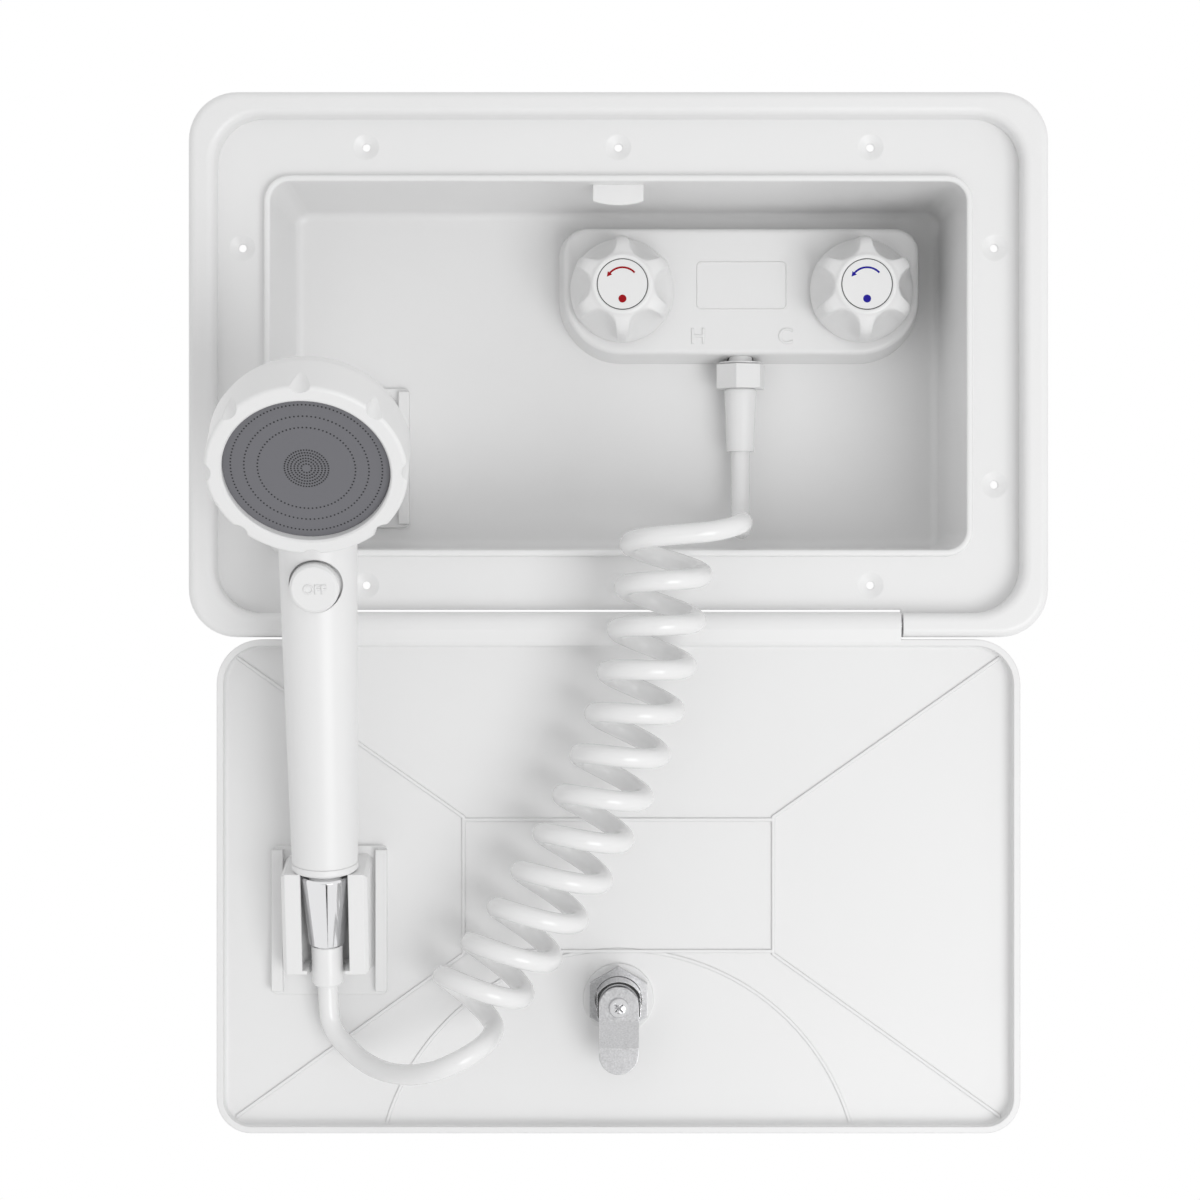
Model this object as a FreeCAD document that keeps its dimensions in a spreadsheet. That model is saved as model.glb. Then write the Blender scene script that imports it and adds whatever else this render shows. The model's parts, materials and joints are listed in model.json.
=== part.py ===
import FreeCAD, Part
import math
import os
import re

import Sketcher
from FreeCAD import Placement, Rotation, Vector

# Exterior shower box: a moulded wall box with a drop-down door, a two-knob valve
# and a handset on a coiled hose.
# Millimetres. +X is to the right, +Y into the vehicle wall, +Z up. The wall surface is the plane y = 0,
# and the origin is the centre of the screw pattern on the back of the flange.

SIZES = {
    # Frame, flange and tub
    "frame_wide": 345.9,
    "frame_tall": 219.4,
    "frame_corner": 19.5,
    "rim_proud": 14.0,
    "rim_wall": 2.4,
    "rim_round": 3.4,
    "flange_thick": 3.0,
    "flange_side": 32.25,
    "flange_end": 35.3,
    "opening_corner": 8.0,
    "lip_rise": 4.0,
    "lip_wide": 2.6,
    "tub_deep": 74.0,
    "tub_wall": 2.4,
    "tub_draft": 1.4,
    "tub_floor_round": 4.0,
    "screw_across": 102.2,
    "screw_gap": 14.4,
    "side_screw_gap": 11.75,
    "side_screw_up": 48.0,
    "screw_hole": 3.2,
    "dish_wide": 10.5,
    "dish_angle": 130.0,
    "tab_wide": 20.6,
    "tab_drop": 8.5,
    "tab_sag": 1.6,
    "tab_thick": 3.0,
    "tab_setback": 1.0,
    # Door and its hinge
    "door_inset_side": 11.5,
    "door_inset_end": 10.5,
    "door_corner": 18.0,
    "door_free_corner": 14.0,
    "door_thick": 8.6,
    "door_skin": 2.5,
    "door_wall": 2.6,
    "door_round": 2.6,
    "door_gap": 0.9,
    "door_sink": 0.4,
    "hinge_inset": 4.8,
    "hinge_front": 8.9,
    "barrel_round": 5.4,
    "tongue_wide": 227.2,
    "tongue_gap": 0.8,
    "rod_wide": 4.0,
    "rod_reach": 11.0,
    "running_play": 0.05,
    "stiff_rib_wide": 1.3,
    "stiff_rib_rise": 0.8,
    "panel_wide": 126.4,
    "panel_tall": 54.4,
    "panel_drop": 78.2,
    "arch_round": 97.6,
    "arch_below": 25.9,
    # Cam lock
    "lock_up": 45.8,
    "lock_boss": 14.2,
    "lock_boss_rise": 1.5,
    "lock_head": 24.0,
    "lock_head_thick": 1.8,
    "lock_barrel": 19.2,
    "lock_long": 27.4,
    "lock_plug_proud": 2.8,
    "lock_plug": 12.0,
    "lock_square": 5.6,
    "hex_flats": 23.2,
    "hex_thick": 5.0,
    "cam_wide": 15.8,
    "cam_thick": 2.2,
    "cam_flat": 6.0,
    "cam_slope": 12.0,
    "cam_crank": 8.0,
    "cam_reach": 27.8,
    "cam_screw_head": 8.0,
    "seat_gap": 0.3,
    "slip": 0.1,
    # Handset holder, used on the door and on the back panel
    "holder_side_gap": 45.05,
    "holder_drop": 117.4,
    "holder_wide": 46.4,
    "holder_tall": 60.0,
    "holder_plate": 2.2,
    "rail_wide": 4.6,
    "rail_tall": 57.0,
    "rail_rise": 3.0,
    "rail_gap": 1.5,
    "cradle_low": 20.0,
    "cradle_arm": 6.5,
    "cradle_floor": 3.0,
    "cradle_chamfer": 1.5,
    "cone_catch": 0.9,
    "stow_side_gap": 27.9,
    "stow_low_gap": 40.9,
    # Handset
    "lean": 13.0,
    "axis_up": 22.55,
    "axis_out": 21.2,
    "grip_low": 13.1,
    "grip_high": 15.3,
    "grip_long": 163.0,
    "collar_tall": 3.2,
    "collar_round": 13.25,
    "stub_round": 6.5,
    "stub_long": 14.0,
    "water_way": 3.4,
    "water_way_back": 6.0,
    "cone_top": 9.85,
    "cone_bottom": 7.15,
    "cone_drop": 2.4,
    "cone_long": 28.9,
    "low_sleeve_round": 6.25,
    "low_sleeve_long": 16.7,
    "washer_thick": 1.2,
    "head_forward": 38.2,
    "head_up": 166.4,
    "head_tilt": 24.3,
    "ring_round": 37.8,
    "ring_deep": 19.5,
    "ring_window": 31.3,
    "ring_bore": 34.0,
    "notch_count": 8.0,
    "notch_wide": 5.0,
    "face_thick": 2.4,
    "face_sink": 3.0,
    "cup_deep": 38.0,
    "button_up": 118.0,
    "button_round": 9.55,
    "button_proud": 4.0,
    "button_thick": 6.0,
    "button_travel": 2.5,
    "button_stem": 3.0,
    "pocket_play": 0.75,
    # Valve
    "valve_side_gap": 88.0,
    "valve_top_gap": 37.9,
    "valve_wide": 155.6,
    "valve_tall": 58.4,
    "valve_thick": 19.5,
    "valve_top_corner": 12.5,
    "valve_low_corner": 27.0,
    "valve_draft": 7.5,
    "valve_round": 2.2,
    "valve_wall": 2.6,
    "knob_spacing": 101.6,
    "shank_round": 10.4,
    "shank_reach": 26.0,
    "shank_hole": 10.9,
    "relief_wide": 1.6,
    "relief_deep": 0.8,
    "seat_round": 12.5,
    "duct_round": 5.0,
    "duct_depth": 11.3,
    "cartridge_round": 8.8,
    "bonnet_flats": 20.0,
    "stem_round": 4.0,
    "outlet_collar": 9.0,
    "outlet_thread": 7.9,
    "outlet_drop": 30.2,
    "outlet_nut_flats": 18.9,
    "outlet_nut_tall": 10.7,
    "outlet_nut_turn": 48.0,
    "outlet_sleeve_top": 6.85,
    "outlet_sleeve_low": 5.8,
    "outlet_sleeve_long": 26.8,
    "lock_nut_flats": 32.0,
    "lock_nut_thick": 8.0,
    "lock_washer_round": 17.5,
    "lock_washer_thick": 1.6,
    # Knobs
    "knob_round": 21.7,
    "knob_tall": 28.0,
    "knob_clear": 1.0,
    "knob_lobes": 6.0,
    "flute_round": 10.0,
    "flute_lean": 18.0,
    "flute_reach": 21.3,
    "index_round": 10.5,
    "index_thick": 1.2,
    "knob_screw_head": 3.6,
    # Hose
    "hose_round": 4.0,
    "coil_round": 15.0,
    "coil_pitch": 17.7,
    "coil_turns": 11.75,
    "coil_front": 36.0,
    "coil_start_across": 19.4,
    "coil_start_down": 69.6,
    "coil_lean": 4.2,
    "coil_lean_rate": 3.3,
    "curl_lean": 5.5,
    "curl_lean_rate": 2.15,
}

# Sizes that follow from the ones above, as formulas.
TIED = {
    "opening_wide": "frame_wide - 2 * flange_side",
    "opening_tall": "frame_tall - 2 * flange_end",
    "screw_up": "opening_tall / 2 + screw_gap",
    "side_screw_across": "opening_wide / 2 + side_screw_gap",
    "door_wide": "frame_wide - 2 * door_inset_side",
    "door_tall": "frame_tall - 2 * door_inset_end",
    "hinge_drop": "frame_tall / 2 - hinge_inset",
    "holder_across": "door_wide / 2 - holder_side_gap",
    "stow_across": "opening_wide / 2 - stow_side_gap",
    "stow_drop": "opening_tall / 2 - stow_low_gap",
    "valve_across": "opening_wide / 2 - valve_side_gap",
    "valve_up": "opening_tall / 2 - valve_top_gap",
}

# Free stretches of the hose, as corner points in millimetres.
DROP_ROUTE = [
    (52.5, 57.5, -59.3),
    (52.3, 48.4, -64.6),
    (51.6, 33.0, -65.3),
    (50.6, 14.0, -65.2),
    (49.8, -6.0, -64.3),
    (49.2, -22.0, -63.6),
    (48.8, -38.6, -64.2),
    (44.2, -46.4, -66.3),
]
TAIL_ROUTE = [
    (-56.5, -58.6, -269.6),
    (-64.0, -60.2, -273.6),
    (-73.0, -56.0, -277.6),
    (-83.0, -46.5, -280.2),
    (-92.5, -35.5, -280.6),
    (-101.5, -25.8, -278.2),
    (-109.0, -18.6, -273.0),
    (-114.5, -14.9, -267.2),
]

FRONT = Rotation(Vector(1, 0, 0), 90)

os.makedirs("parts", exist_ok=True)
doc = FreeCAD.newDocument("ShowerBox")
sheet = doc.addObject("Spreadsheet::Sheet", "Sizes")
NAMES = {alias: repr(number) for alias, number in SIZES.items()}
NAMES.update({alias: "=" + formula for alias, formula in TIED.items()})
for row, (alias, content) in enumerate(NAMES.items(), start=1):
    sheet.set("A%d" % row, alias)
    sheet.set("B%d" % row, content)
    sheet.setAlias("B%d" % row, alias)
doc.recompute()

pieces = {}


def bound(text):
    """The expression that reads the named sizes from the sheet."""
    return re.sub(r"[a-z_]+", lambda word: "Sizes." * (word.group(0) in NAMES) + word.group(0), text)


def value(text):
    """The number that an expression of named sizes stands for."""
    return float(sheet.evalExpression(bound(text)))


def place(piece, position, rotation=Rotation()):
    """Sets a piece down at a position that is bound to the sheet."""
    piece.Placement = Placement(Vector(*[value(text) for text in position]), rotation)
    for axis, text in zip("xyz", position):
        piece.setExpression("Placement.Base." + axis, bound(text))


def keep(piece, label):
    """Files a finished sub-part under its own name."""
    piece.Label = label
    pieces[label] = piece
    return piece


def new_body(label):
    return keep(doc.addObject("PartDesign::Body", label), label)


def origin_plane(body, role):
    return next(feature for feature in body.Origin.OriginFeatures if feature.Role == role)


def new_sketch(body, name, role="XY_Plane", offset="0", up="0", tilt="0"):
    """A sketch on one of the body's own planes, moved along its normal and up, and tilted."""
    sketch = body.newObject("Sketcher::SketchObject", name)
    sketch.AttachmentSupport = (origin_plane(body, role), "")
    sketch.MapMode = "FlatFace"
    turn = Rotation(Vector(1, 0, 0), value(tilt))
    sketch.AttachmentOffset = Placement(Vector(0, value(up), value(offset)), turn)
    sketch.setExpression("AttachmentOffset.Base.z", bound(offset))
    sketch.setExpression("AttachmentOffset.Base.y", bound(up))
    return sketch


def pin_point(sketch, geometry, end, across, up):
    """Fixes one end or centre of a sketch line at a place given by two expressions."""
    for kind, text in (("DistanceX", across), ("DistanceY", up)):
        index = sketch.addConstraint(Sketcher.Constraint(kind, -1, 1, geometry, end, value(text)))
        name = "%s_%d_%d" % (kind, geometry, end)
        sketch.renameConstraint(index, name)
        sketch.setExpression("Constraints." + name, bound(text))


def circle(sketch, across, up, radius):
    where = Vector(value(across), value(up), 0)
    geometry = sketch.addGeometry(Part.Circle(where, Vector(0, 0, 1), value(radius)))
    pin_point(sketch, geometry, 3, across, up)
    index = sketch.addConstraint(Sketcher.Constraint("Radius", geometry, value(radius)))
    sketch.renameConstraint(index, "Radius_%d" % geometry)
    sketch.setExpression("Constraints.Radius_%d" % geometry, bound(radius))


def outline(sketch, points):
    """A closed outline. A point is (across, up), or (across, up, radius) where an arc leaves it.
    A plus sign before the radius turns the arc to the left, and a minus sign turns it to the right."""
    corners = [Vector(value(point[0]), value(point[1]), 0) for point in points]
    ends = []
    for index, point in enumerate(points):
        start, stop = corners[index], corners[(index + 1) % len(points)]
        if len(point) == 2:
            geometry = sketch.addGeometry(Part.LineSegment(start, stop))
            ends.append((geometry, 1, 2))
            continue
        left = point[2][0] != "-"
        radius = value(point[2].lstrip("+-"))
        if not left:
            start, stop = stop, start
        chord = stop - start
        inward = Vector(-chord.y, chord.x, 0).normalize()
        rise = math.sqrt(max(radius ** 2 - (chord.Length / 2) ** 2, 0.0))
        centre = (start + stop) * 0.5 + inward * rise
        first = math.atan2(start.y - centre.y, start.x - centre.x)
        last = math.atan2(stop.y - centre.y, stop.x - centre.x)
        if last < first:
            last += 2 * math.pi
        arc = Part.ArcOfCircle(Part.Circle(centre, Vector(0, 0, 1), radius), first, last)
        geometry = sketch.addGeometry(arc)
        ends.append((geometry, 1, 2) if left else (geometry, 2, 1))
    for index, point in enumerate(points):
        geometry, start_end, stop_end = ends[index]
        following, next_start, unused = ends[(index + 1) % len(points)]
        pin_point(sketch, geometry, start_end, point[0], point[1])
        sketch.addConstraint(Sketcher.Constraint("Coincident", geometry, stop_end, following, next_start))
        if len(point) == 3:
            text = point[2].lstrip("+-")
            named = sketch.addConstraint(Sketcher.Constraint("Radius", geometry, value(text)))
            sketch.renameConstraint(named, "Round_%d" % geometry)
            sketch.setExpression("Constraints.Round_%d" % geometry, bound(text))


def rounded_box(sketch, left, right, low, high, low_round, high_round=None):
    """A rectangle with round corners, the low pair and the high pair each with a radius of their own."""
    high_round = high_round or low_round
    outline(
        sketch,
        [
            ("%s + %s" % (left, low_round), low),
            ("%s - %s" % (right, low_round), low, "+" + low_round),
            (right, "%s + %s" % (low, low_round)),
            (right, "%s - %s" % (high, high_round), "+" + high_round),
            ("%s - %s" % (right, high_round), high),
            ("%s + %s" % (left, high_round), high, "+" + high_round),
            (left, "%s - %s" % (high, high_round)),
            (left, "%s + %s" % (low, low_round), "+" + low_round),
        ],
    )


def plain_box(sketch, left, right, low, high):
    outline(sketch, [(left, low), (right, low), (right, high), (left, high)])


def hexagon(sketch, flats, up="0"):
    """A hexagon with two flats at the left and right."""
    half = "(%s) / 2" % flats
    side = "(%s) / 2 * tan(30)" % flats
    point = "(%s) / 2 / cos(30)" % flats
    outline(
        sketch,
        [
            (half, "%s - %s" % (up, side)),
            (half, "%s + %s" % (up, side)),
            ("0", "%s + %s" % (up, point)),
            ("-%s" % half, "%s + %s" % (up, side)),
            ("-%s" % half, "%s - %s" % (up, side)),
            ("0", "%s - %s" % (up, point)),
        ],
    )


def pad(body, sketch, length, reverse=False, both_ways=False, taper=None):
    feature = body.newObject("PartDesign::Pad", "Pad")
    feature.Profile = sketch
    feature.Length = value(length)
    feature.setExpression("Length", bound(length))
    feature.Reversed = reverse
    feature.Midplane = both_ways
    if taper:
        feature.TaperAngle = value(taper)
        feature.setExpression("TaperAngle", bound(taper))
    return feature


def pocket(body, sketch, length, reverse=False, both_ways=False, taper=None):
    """A cut against the sketch's normal, or along it when reversed."""
    feature = body.newObject("PartDesign::Pocket", "Pocket")
    feature.Profile = sketch
    feature.Length = value(length)
    feature.setExpression("Length", bound(length))
    feature.Reversed = reverse
    feature.Midplane = both_ways
    if taper:
        feature.TaperAngle = value(taper)
        feature.setExpression("TaperAngle", bound(taper))
    return feature


def turned(body, points, name="Profile"):
    """A turned solid: the outline of (radius, height) points goes round the body's Z axis."""
    sketch = new_sketch(body, name, "XZ_Plane")
    outline(sketch, points)
    feature = body.newObject("PartDesign::Revolution", "Turned")
    feature.Profile = sketch
    feature.ReferenceAxis = (sketch, ["V_Axis"])
    feature.Angle = 360.0
    return feature


def round_edges(body, test, radius, kind="PartDesign::Fillet"):
    """Rounds or chamfers the edges of the body's last feature that pass the test."""
    doc.recompute()
    tip = body.Tip
    names = ["Edge%d" % number for number, edge in enumerate(tip.Shape.Edges, start=1) if test(edge)]
    feature = body.newObject(kind, "Round")
    feature.Base = (tip, names)
    size = "Radius" if kind.endswith("Fillet") else "Size"
    setattr(feature, size, value(radius))
    feature.setExpression(size, bound(radius))
    return feature


def lies_at(edge, axis, height, near=0.01):
    """True when the whole edge lies at one height along an axis."""
    box = edge.BoundBox
    low, high = getattr(box, axis + "Min"), getattr(box, axis + "Max")
    return abs(low - height) < near and abs(high - height) < near


def drum(label, radius, height, bore=None):
    """A plain cylinder along Z from its base, with a bore where one is named."""
    rod = doc.addObject("Part::Cylinder", label + "_rod" if bore else label)
    rod.setExpression("Radius", bound(radius))
    rod.setExpression("Height", bound(height))
    if not bore:
        return rod
    hole = doc.addObject("Part::Cylinder", label + "_bore")
    hole.setExpression("Radius", bound(bore))
    hole.setExpression("Height", bound(height))
    tube = doc.addObject("Part::Cut", label)
    tube.Base = rod
    tube.Tool = hole
    return tube


def make_housing():
    """Bezel rim, screw flange, beaded opening and drafted tub in one moulding."""
    body = new_body("housing")
    rim = new_sketch(body, "RimOutline")
    half_wide, half_tall = "frame_wide / 2", "frame_tall / 2"
    rounded_box(rim, "-" + half_wide, half_wide, "-" + half_tall, half_tall, "frame_corner")
    pad(body, rim, "rim_proud")
    recess = new_sketch(body, "DoorRecess", offset="rim_proud")
    across, up = "(door_wide / 2 + door_gap)", "(door_tall / 2 + door_gap)"
    rounded_box(recess, "-" + across, across, "-" + up, up, "(door_corner + door_gap)")
    pocket(body, recess, "rim_proud - flange_thick")
    front = value("rim_proud")
    round_edges(body, lambda edge: lies_at(edge, "Z", front), "rim_round")

    channel = new_sketch(body, "RimChannel")
    rounded_box(
        channel,
        "-(frame_wide / 2 - rim_wall)",
        "(frame_wide / 2 - rim_wall)",
        "-(frame_tall / 2 - rim_wall)",
        "(frame_tall / 2 - rim_wall)",
        "(frame_corner - rim_wall)",
    )
    rounded_box(
        channel,
        "-(%s + rim_wall)" % across,
        "(%s + rim_wall)" % across,
        "-(%s + rim_wall)" % up,
        "(%s + rim_wall)" % up,
        "(door_corner + door_gap + rim_wall)",
    )
    pocket(body, channel, "rim_proud - rim_wall", reverse=True)

    blocks = new_sketch(body, "HingeBlocks")
    inner, outer = "(tongue_wide / 2)", "(tongue_wide / 2 + tongue_gap + rod_reach + rim_wall)"
    low, high = "-(frame_tall / 2 - rim_wall / 2)", "-(%s + rim_wall / 2)" % up
    plain_box(blocks, inner, outer, low, high)
    plain_box(blocks, "-" + outer, "-" + inner, low, high)
    pad(body, blocks, "rim_proud - rim_wall / 2")

    notch = new_sketch(body, "HingeNotch", offset="rim_proud")
    side = "(tongue_wide / 2 + tongue_gap)"
    plain_box(notch, "-" + side, side, "-frame_tall", "-(hinge_drop - barrel_round - tongue_gap)")
    pocket(body, notch, "rim_proud * 2")

    rod = new_sketch(body, "RodSeats", "YZ_Plane")
    circle(rod, "-hinge_drop", "hinge_front", "rod_wide / 2 + running_play")
    pocket(body, rod, "tongue_wide + 2 * tongue_gap + 2 * rod_reach", both_ways=True)

    tub = new_sketch(body, "TubOutside", offset="flange_thick / 2")
    half_wide, half_tall = "(opening_wide / 2 + tub_wall)", "(opening_tall / 2 + tub_wall)"
    rounded_box(tub, "-" + half_wide, half_wide, "-" + half_tall, half_tall, "(opening_corner + tub_wall)")
    pad(body, tub, "flange_thick / 2 + tub_deep + tub_wall", reverse=True, taper="-tub_draft")

    lip = new_sketch(body, "OpeningLip", offset="flange_thick / 2")
    half_wide, half_tall = "(opening_wide / 2 + lip_wide)", "(opening_tall / 2 + lip_wide)"
    rounded_box(lip, "-" + half_wide, half_wide, "-" + half_tall, half_tall, "(opening_corner + lip_wide)")
    pad(body, lip, "flange_thick / 2 + lip_rise")

    inside = new_sketch(body, "TubInside", offset="flange_thick + lip_rise")
    half_wide, half_tall = "(opening_wide / 2)", "(opening_tall / 2)"
    rounded_box(inside, "-" + half_wide, half_wide, "-" + half_tall, half_tall, "opening_corner")
    pocket(body, inside, "flange_thick + lip_rise + tub_deep", taper="-tub_draft")
    back = -value("tub_deep")
    round_edges(body, lambda edge: lies_at(edge, "Z", back), "tub_floor_round")
    lip_front = value("flange_thick + lip_rise")
    round_edges(body, lambda edge: lies_at(edge, "Z", lip_front), "lip_wide * 0.4")

    tab = new_sketch(body, "CatchTab", offset="-tab_setback")
    tab_low = "opening_tall / 2 - tab_drop + tab_sag"
    sag_round = "((tab_wide / 2) ^ 2 + tab_sag ^ 2) / 2 / tab_sag"
    outline(
        tab,
        [
            ("-tab_wide / 2", tab_low, "+" + sag_round),
            ("tab_wide / 2", tab_low),
            ("tab_wide / 2", "opening_tall / 2 + tub_wall / 2"),
            ("-tab_wide / 2", "opening_tall / 2 + tub_wall / 2"),
        ],
    )
    pad(body, tab, "tab_thick", reverse=True)

    shanks = new_sketch(body, "ShankHoles", offset="-tub_deep + 1")
    circle(shanks, "valve_across - knob_spacing / 2", "valve_up", "shank_hole")
    circle(shanks, "valve_across + knob_spacing / 2", "valve_up", "shank_hole")
    pocket(body, shanks, "tub_wall * 2 + 1")

    marks = new_sketch(body, "ScrewPlaces", offset="flange_thick")
    for up in ("screw_up", "-screw_up"):
        for across in ("-screw_across", "0", "screw_across"):
            circle(marks, across, up, "screw_hole / 2")
    for up in ("side_screw_up", "-side_screw_up"):
        for across in ("-side_screw_across", "side_screw_across"):
            circle(marks, across, up, "screw_hole / 2")
    doc.recompute()
    holes = body.newObject("PartDesign::Hole", "ScrewHoles")
    holes.Profile = marks
    holes.DepthType = "ThroughAll"
    holes.setExpression("Diameter", bound("screw_hole"))
    holes.HoleCutType = "Countersink"
    holes.HoleCutCustomValues = True
    holes.setExpression("HoleCutDiameter", bound("dish_wide"))
    holes.setExpression("HoleCutCountersinkAngle", bound("dish_angle"))
    place(body, ("0", "0", "0"), FRONT)


def make_hinge_rod():
    rod = drum("hinge_rod", "rod_wide / 2", "tongue_wide + 2 * tongue_gap + 2 * rod_reach - 2 * seat_gap")
    place(
        rod,
        ("-(tongue_wide / 2 + tongue_gap + rod_reach - seat_gap)", "-hinge_front", "-hinge_drop"),
        Rotation(Vector(0, 1, 0), 90),
    )
    keep(rod, "hinge_rod")


DOOR_BACK = "(door_sink + hinge_front - rim_proud)"
DOOR_FLOOR = "(door_sink + hinge_front - rim_proud + door_skin)"
DOOR_TOP = "(door_tall / 2 - hinge_drop)"
DOOR_END = "(-door_tall / 2 - hinge_drop)"
LOCK_PLACE = "-(hinge_drop + lock_up)"


def make_door():
    """A shallow tray with stiffening ribs, hanging from its tongue. Its frame is the hinge axis."""
    body = new_body("door_panel")
    panel = new_sketch(body, "PanelOutline", offset=DOOR_BACK)
    left, right = "-(door_wide / 2)", "(door_wide / 2)"
    rounded_box(panel, left, right, DOOR_END, DOOR_TOP, "door_free_corner", "door_corner")
    pad(body, panel, "door_thick")
    back = value(DOOR_BACK)
    round_edges(body, lambda edge: lies_at(edge, "Z", back), "door_round")
    tray = new_sketch(body, "Tray", offset=DOOR_BACK + " + door_thick")
    left, right = "-(door_wide / 2 - door_wall)", "(door_wide / 2 - door_wall)"
    low, high = "(%s + door_wall)" % DOOR_END, "(%s - door_wall)" % DOOR_TOP
    rounded_box(tray, left, right, low, high, "(door_free_corner - door_wall)", "(door_corner - door_wall)")
    pocket(body, tray, "door_thick - door_skin")
    floor = value(DOOR_FLOOR)
    round_edges(body, lambda edge: lies_at(edge, "Z", floor), "door_wall * 0.6")

    ribs = new_sketch(body, "PanelRibs", offset=DOOR_FLOOR + " - 0.5")
    high = "(%s - panel_drop + 6)" % DOOR_TOP
    low = "(%s - panel_drop + 6 - panel_tall)" % DOOR_TOP
    half = "(panel_wide / 2)"
    plain_box(ribs, "-" + half, half, low, high)
    plain_box(
        ribs,
        "-(%s - stiff_rib_wide)" % half,
        "(%s - stiff_rib_wide)" % half,
        "%s + stiff_rib_wide" % low,
        "%s - stiff_rib_wide" % high,
    )
    pad(body, ribs, "stiff_rib_rise + 0.5")
    rays = new_sketch(body, "DiagonalRibs", offset=DOOR_FLOOR + " - 0.5")
    corner_across = "(door_wide / 2 - door_corner * 0.4)"
    for side in ("-", ""):
        top_end = "(%s - door_corner * 0.4)" % DOOR_TOP
        low_end = "(%s + door_free_corner * 0.4)" % DOOR_END
        for inner, outer in ((high, top_end), (low, low_end)):
            start_across = "%s(%s - stiff_rib_wide)" % (side, half)
            stop_across = side + corner_across
            outline(
                rays,
                [
                    (start_across, inner + " - stiff_rib_wide * 0.6"),
                    (stop_across, outer + " - stiff_rib_wide * 0.6"),
                    (stop_across, outer + " + stiff_rib_wide * 0.6"),
                    (start_across, inner + " + stiff_rib_wide * 0.6"),
                ],
            )
    pad(body, rays, "stiff_rib_rise + 0.5")
    arch = new_sketch(body, "ArchRib", offset=DOOR_FLOOR + " - 0.5")
    foot = "(%s + door_wall / 2)" % DOOR_END
    outer, inner = "(arch_round + stiff_rib_wide / 2)", "(arch_round - stiff_rib_wide / 2)"
    reach = "sqrt(%s ^ 2 - arch_below ^ 2)"
    outline(
        arch,
        [
            (reach % outer, foot, "+" + outer),
            ("-" + reach % outer, foot),
            ("-" + reach % inner, foot, "-" + inner),
            (reach % inner, foot),
        ],
    )
    pad(body, arch, "stiff_rib_rise * 0.6 + 0.5")
    boss = new_sketch(body, "LockBoss", offset=DOOR_FLOOR + " - 0.5")
    circle(boss, "0", LOCK_PLACE, "lock_boss")
    pad(body, boss, "lock_boss_rise + 0.5")

    tongue = new_sketch(body, "HingeTongue", "YZ_Plane")
    outline(
        tongue,
        [
            (DOOR_TOP + " - door_wall / 2", DOOR_BACK),
            ("-door_round", "-barrel_round"),
            ("0", "-barrel_round", "+barrel_round"),
            ("barrel_round", "0", "+barrel_round"),
            ("0", "barrel_round"),
            ("-barrel_round * 0.3", "barrel_round"),
            (DOOR_TOP + " - door_wall / 2", DOOR_BACK + " + door_thick"),
        ],
    )
    pad(body, tongue, "tongue_wide", both_ways=True)
    rod = new_sketch(body, "RodBore", "YZ_Plane")
    circle(rod, "0", "0", "rod_wide / 2 + running_play")
    pocket(body, rod, "tongue_wide + 10", both_ways=True)
    hole = new_sketch(body, "LockHole", offset=DOOR_FLOOR + " + lock_boss_rise")
    circle(hole, "0", LOCK_PLACE, "lock_barrel / 2 + slip")
    pocket(body, hole, "lock_boss_rise + door_skin")
    seat = new_sketch(body, "LockHeadSeat", offset=DOOR_BACK)
    circle(seat, "0", LOCK_PLACE, "lock_head / 2 + slip")
    pocket(body, seat, "lock_head_thick", reverse=True)
    place(body, ("0", "-hinge_front", "-hinge_drop"), FRONT)


def on_lock(piece, depth):
    """Puts a piece of the lock on the lock's axis, its base at a depth from the door's outer face."""
    forward = "-hinge_front - %s - (%s)" % (DOOR_BACK, depth)
    place(piece, ("0", forward, "-(hinge_drop * 2 + lock_up)"), FRONT)


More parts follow.
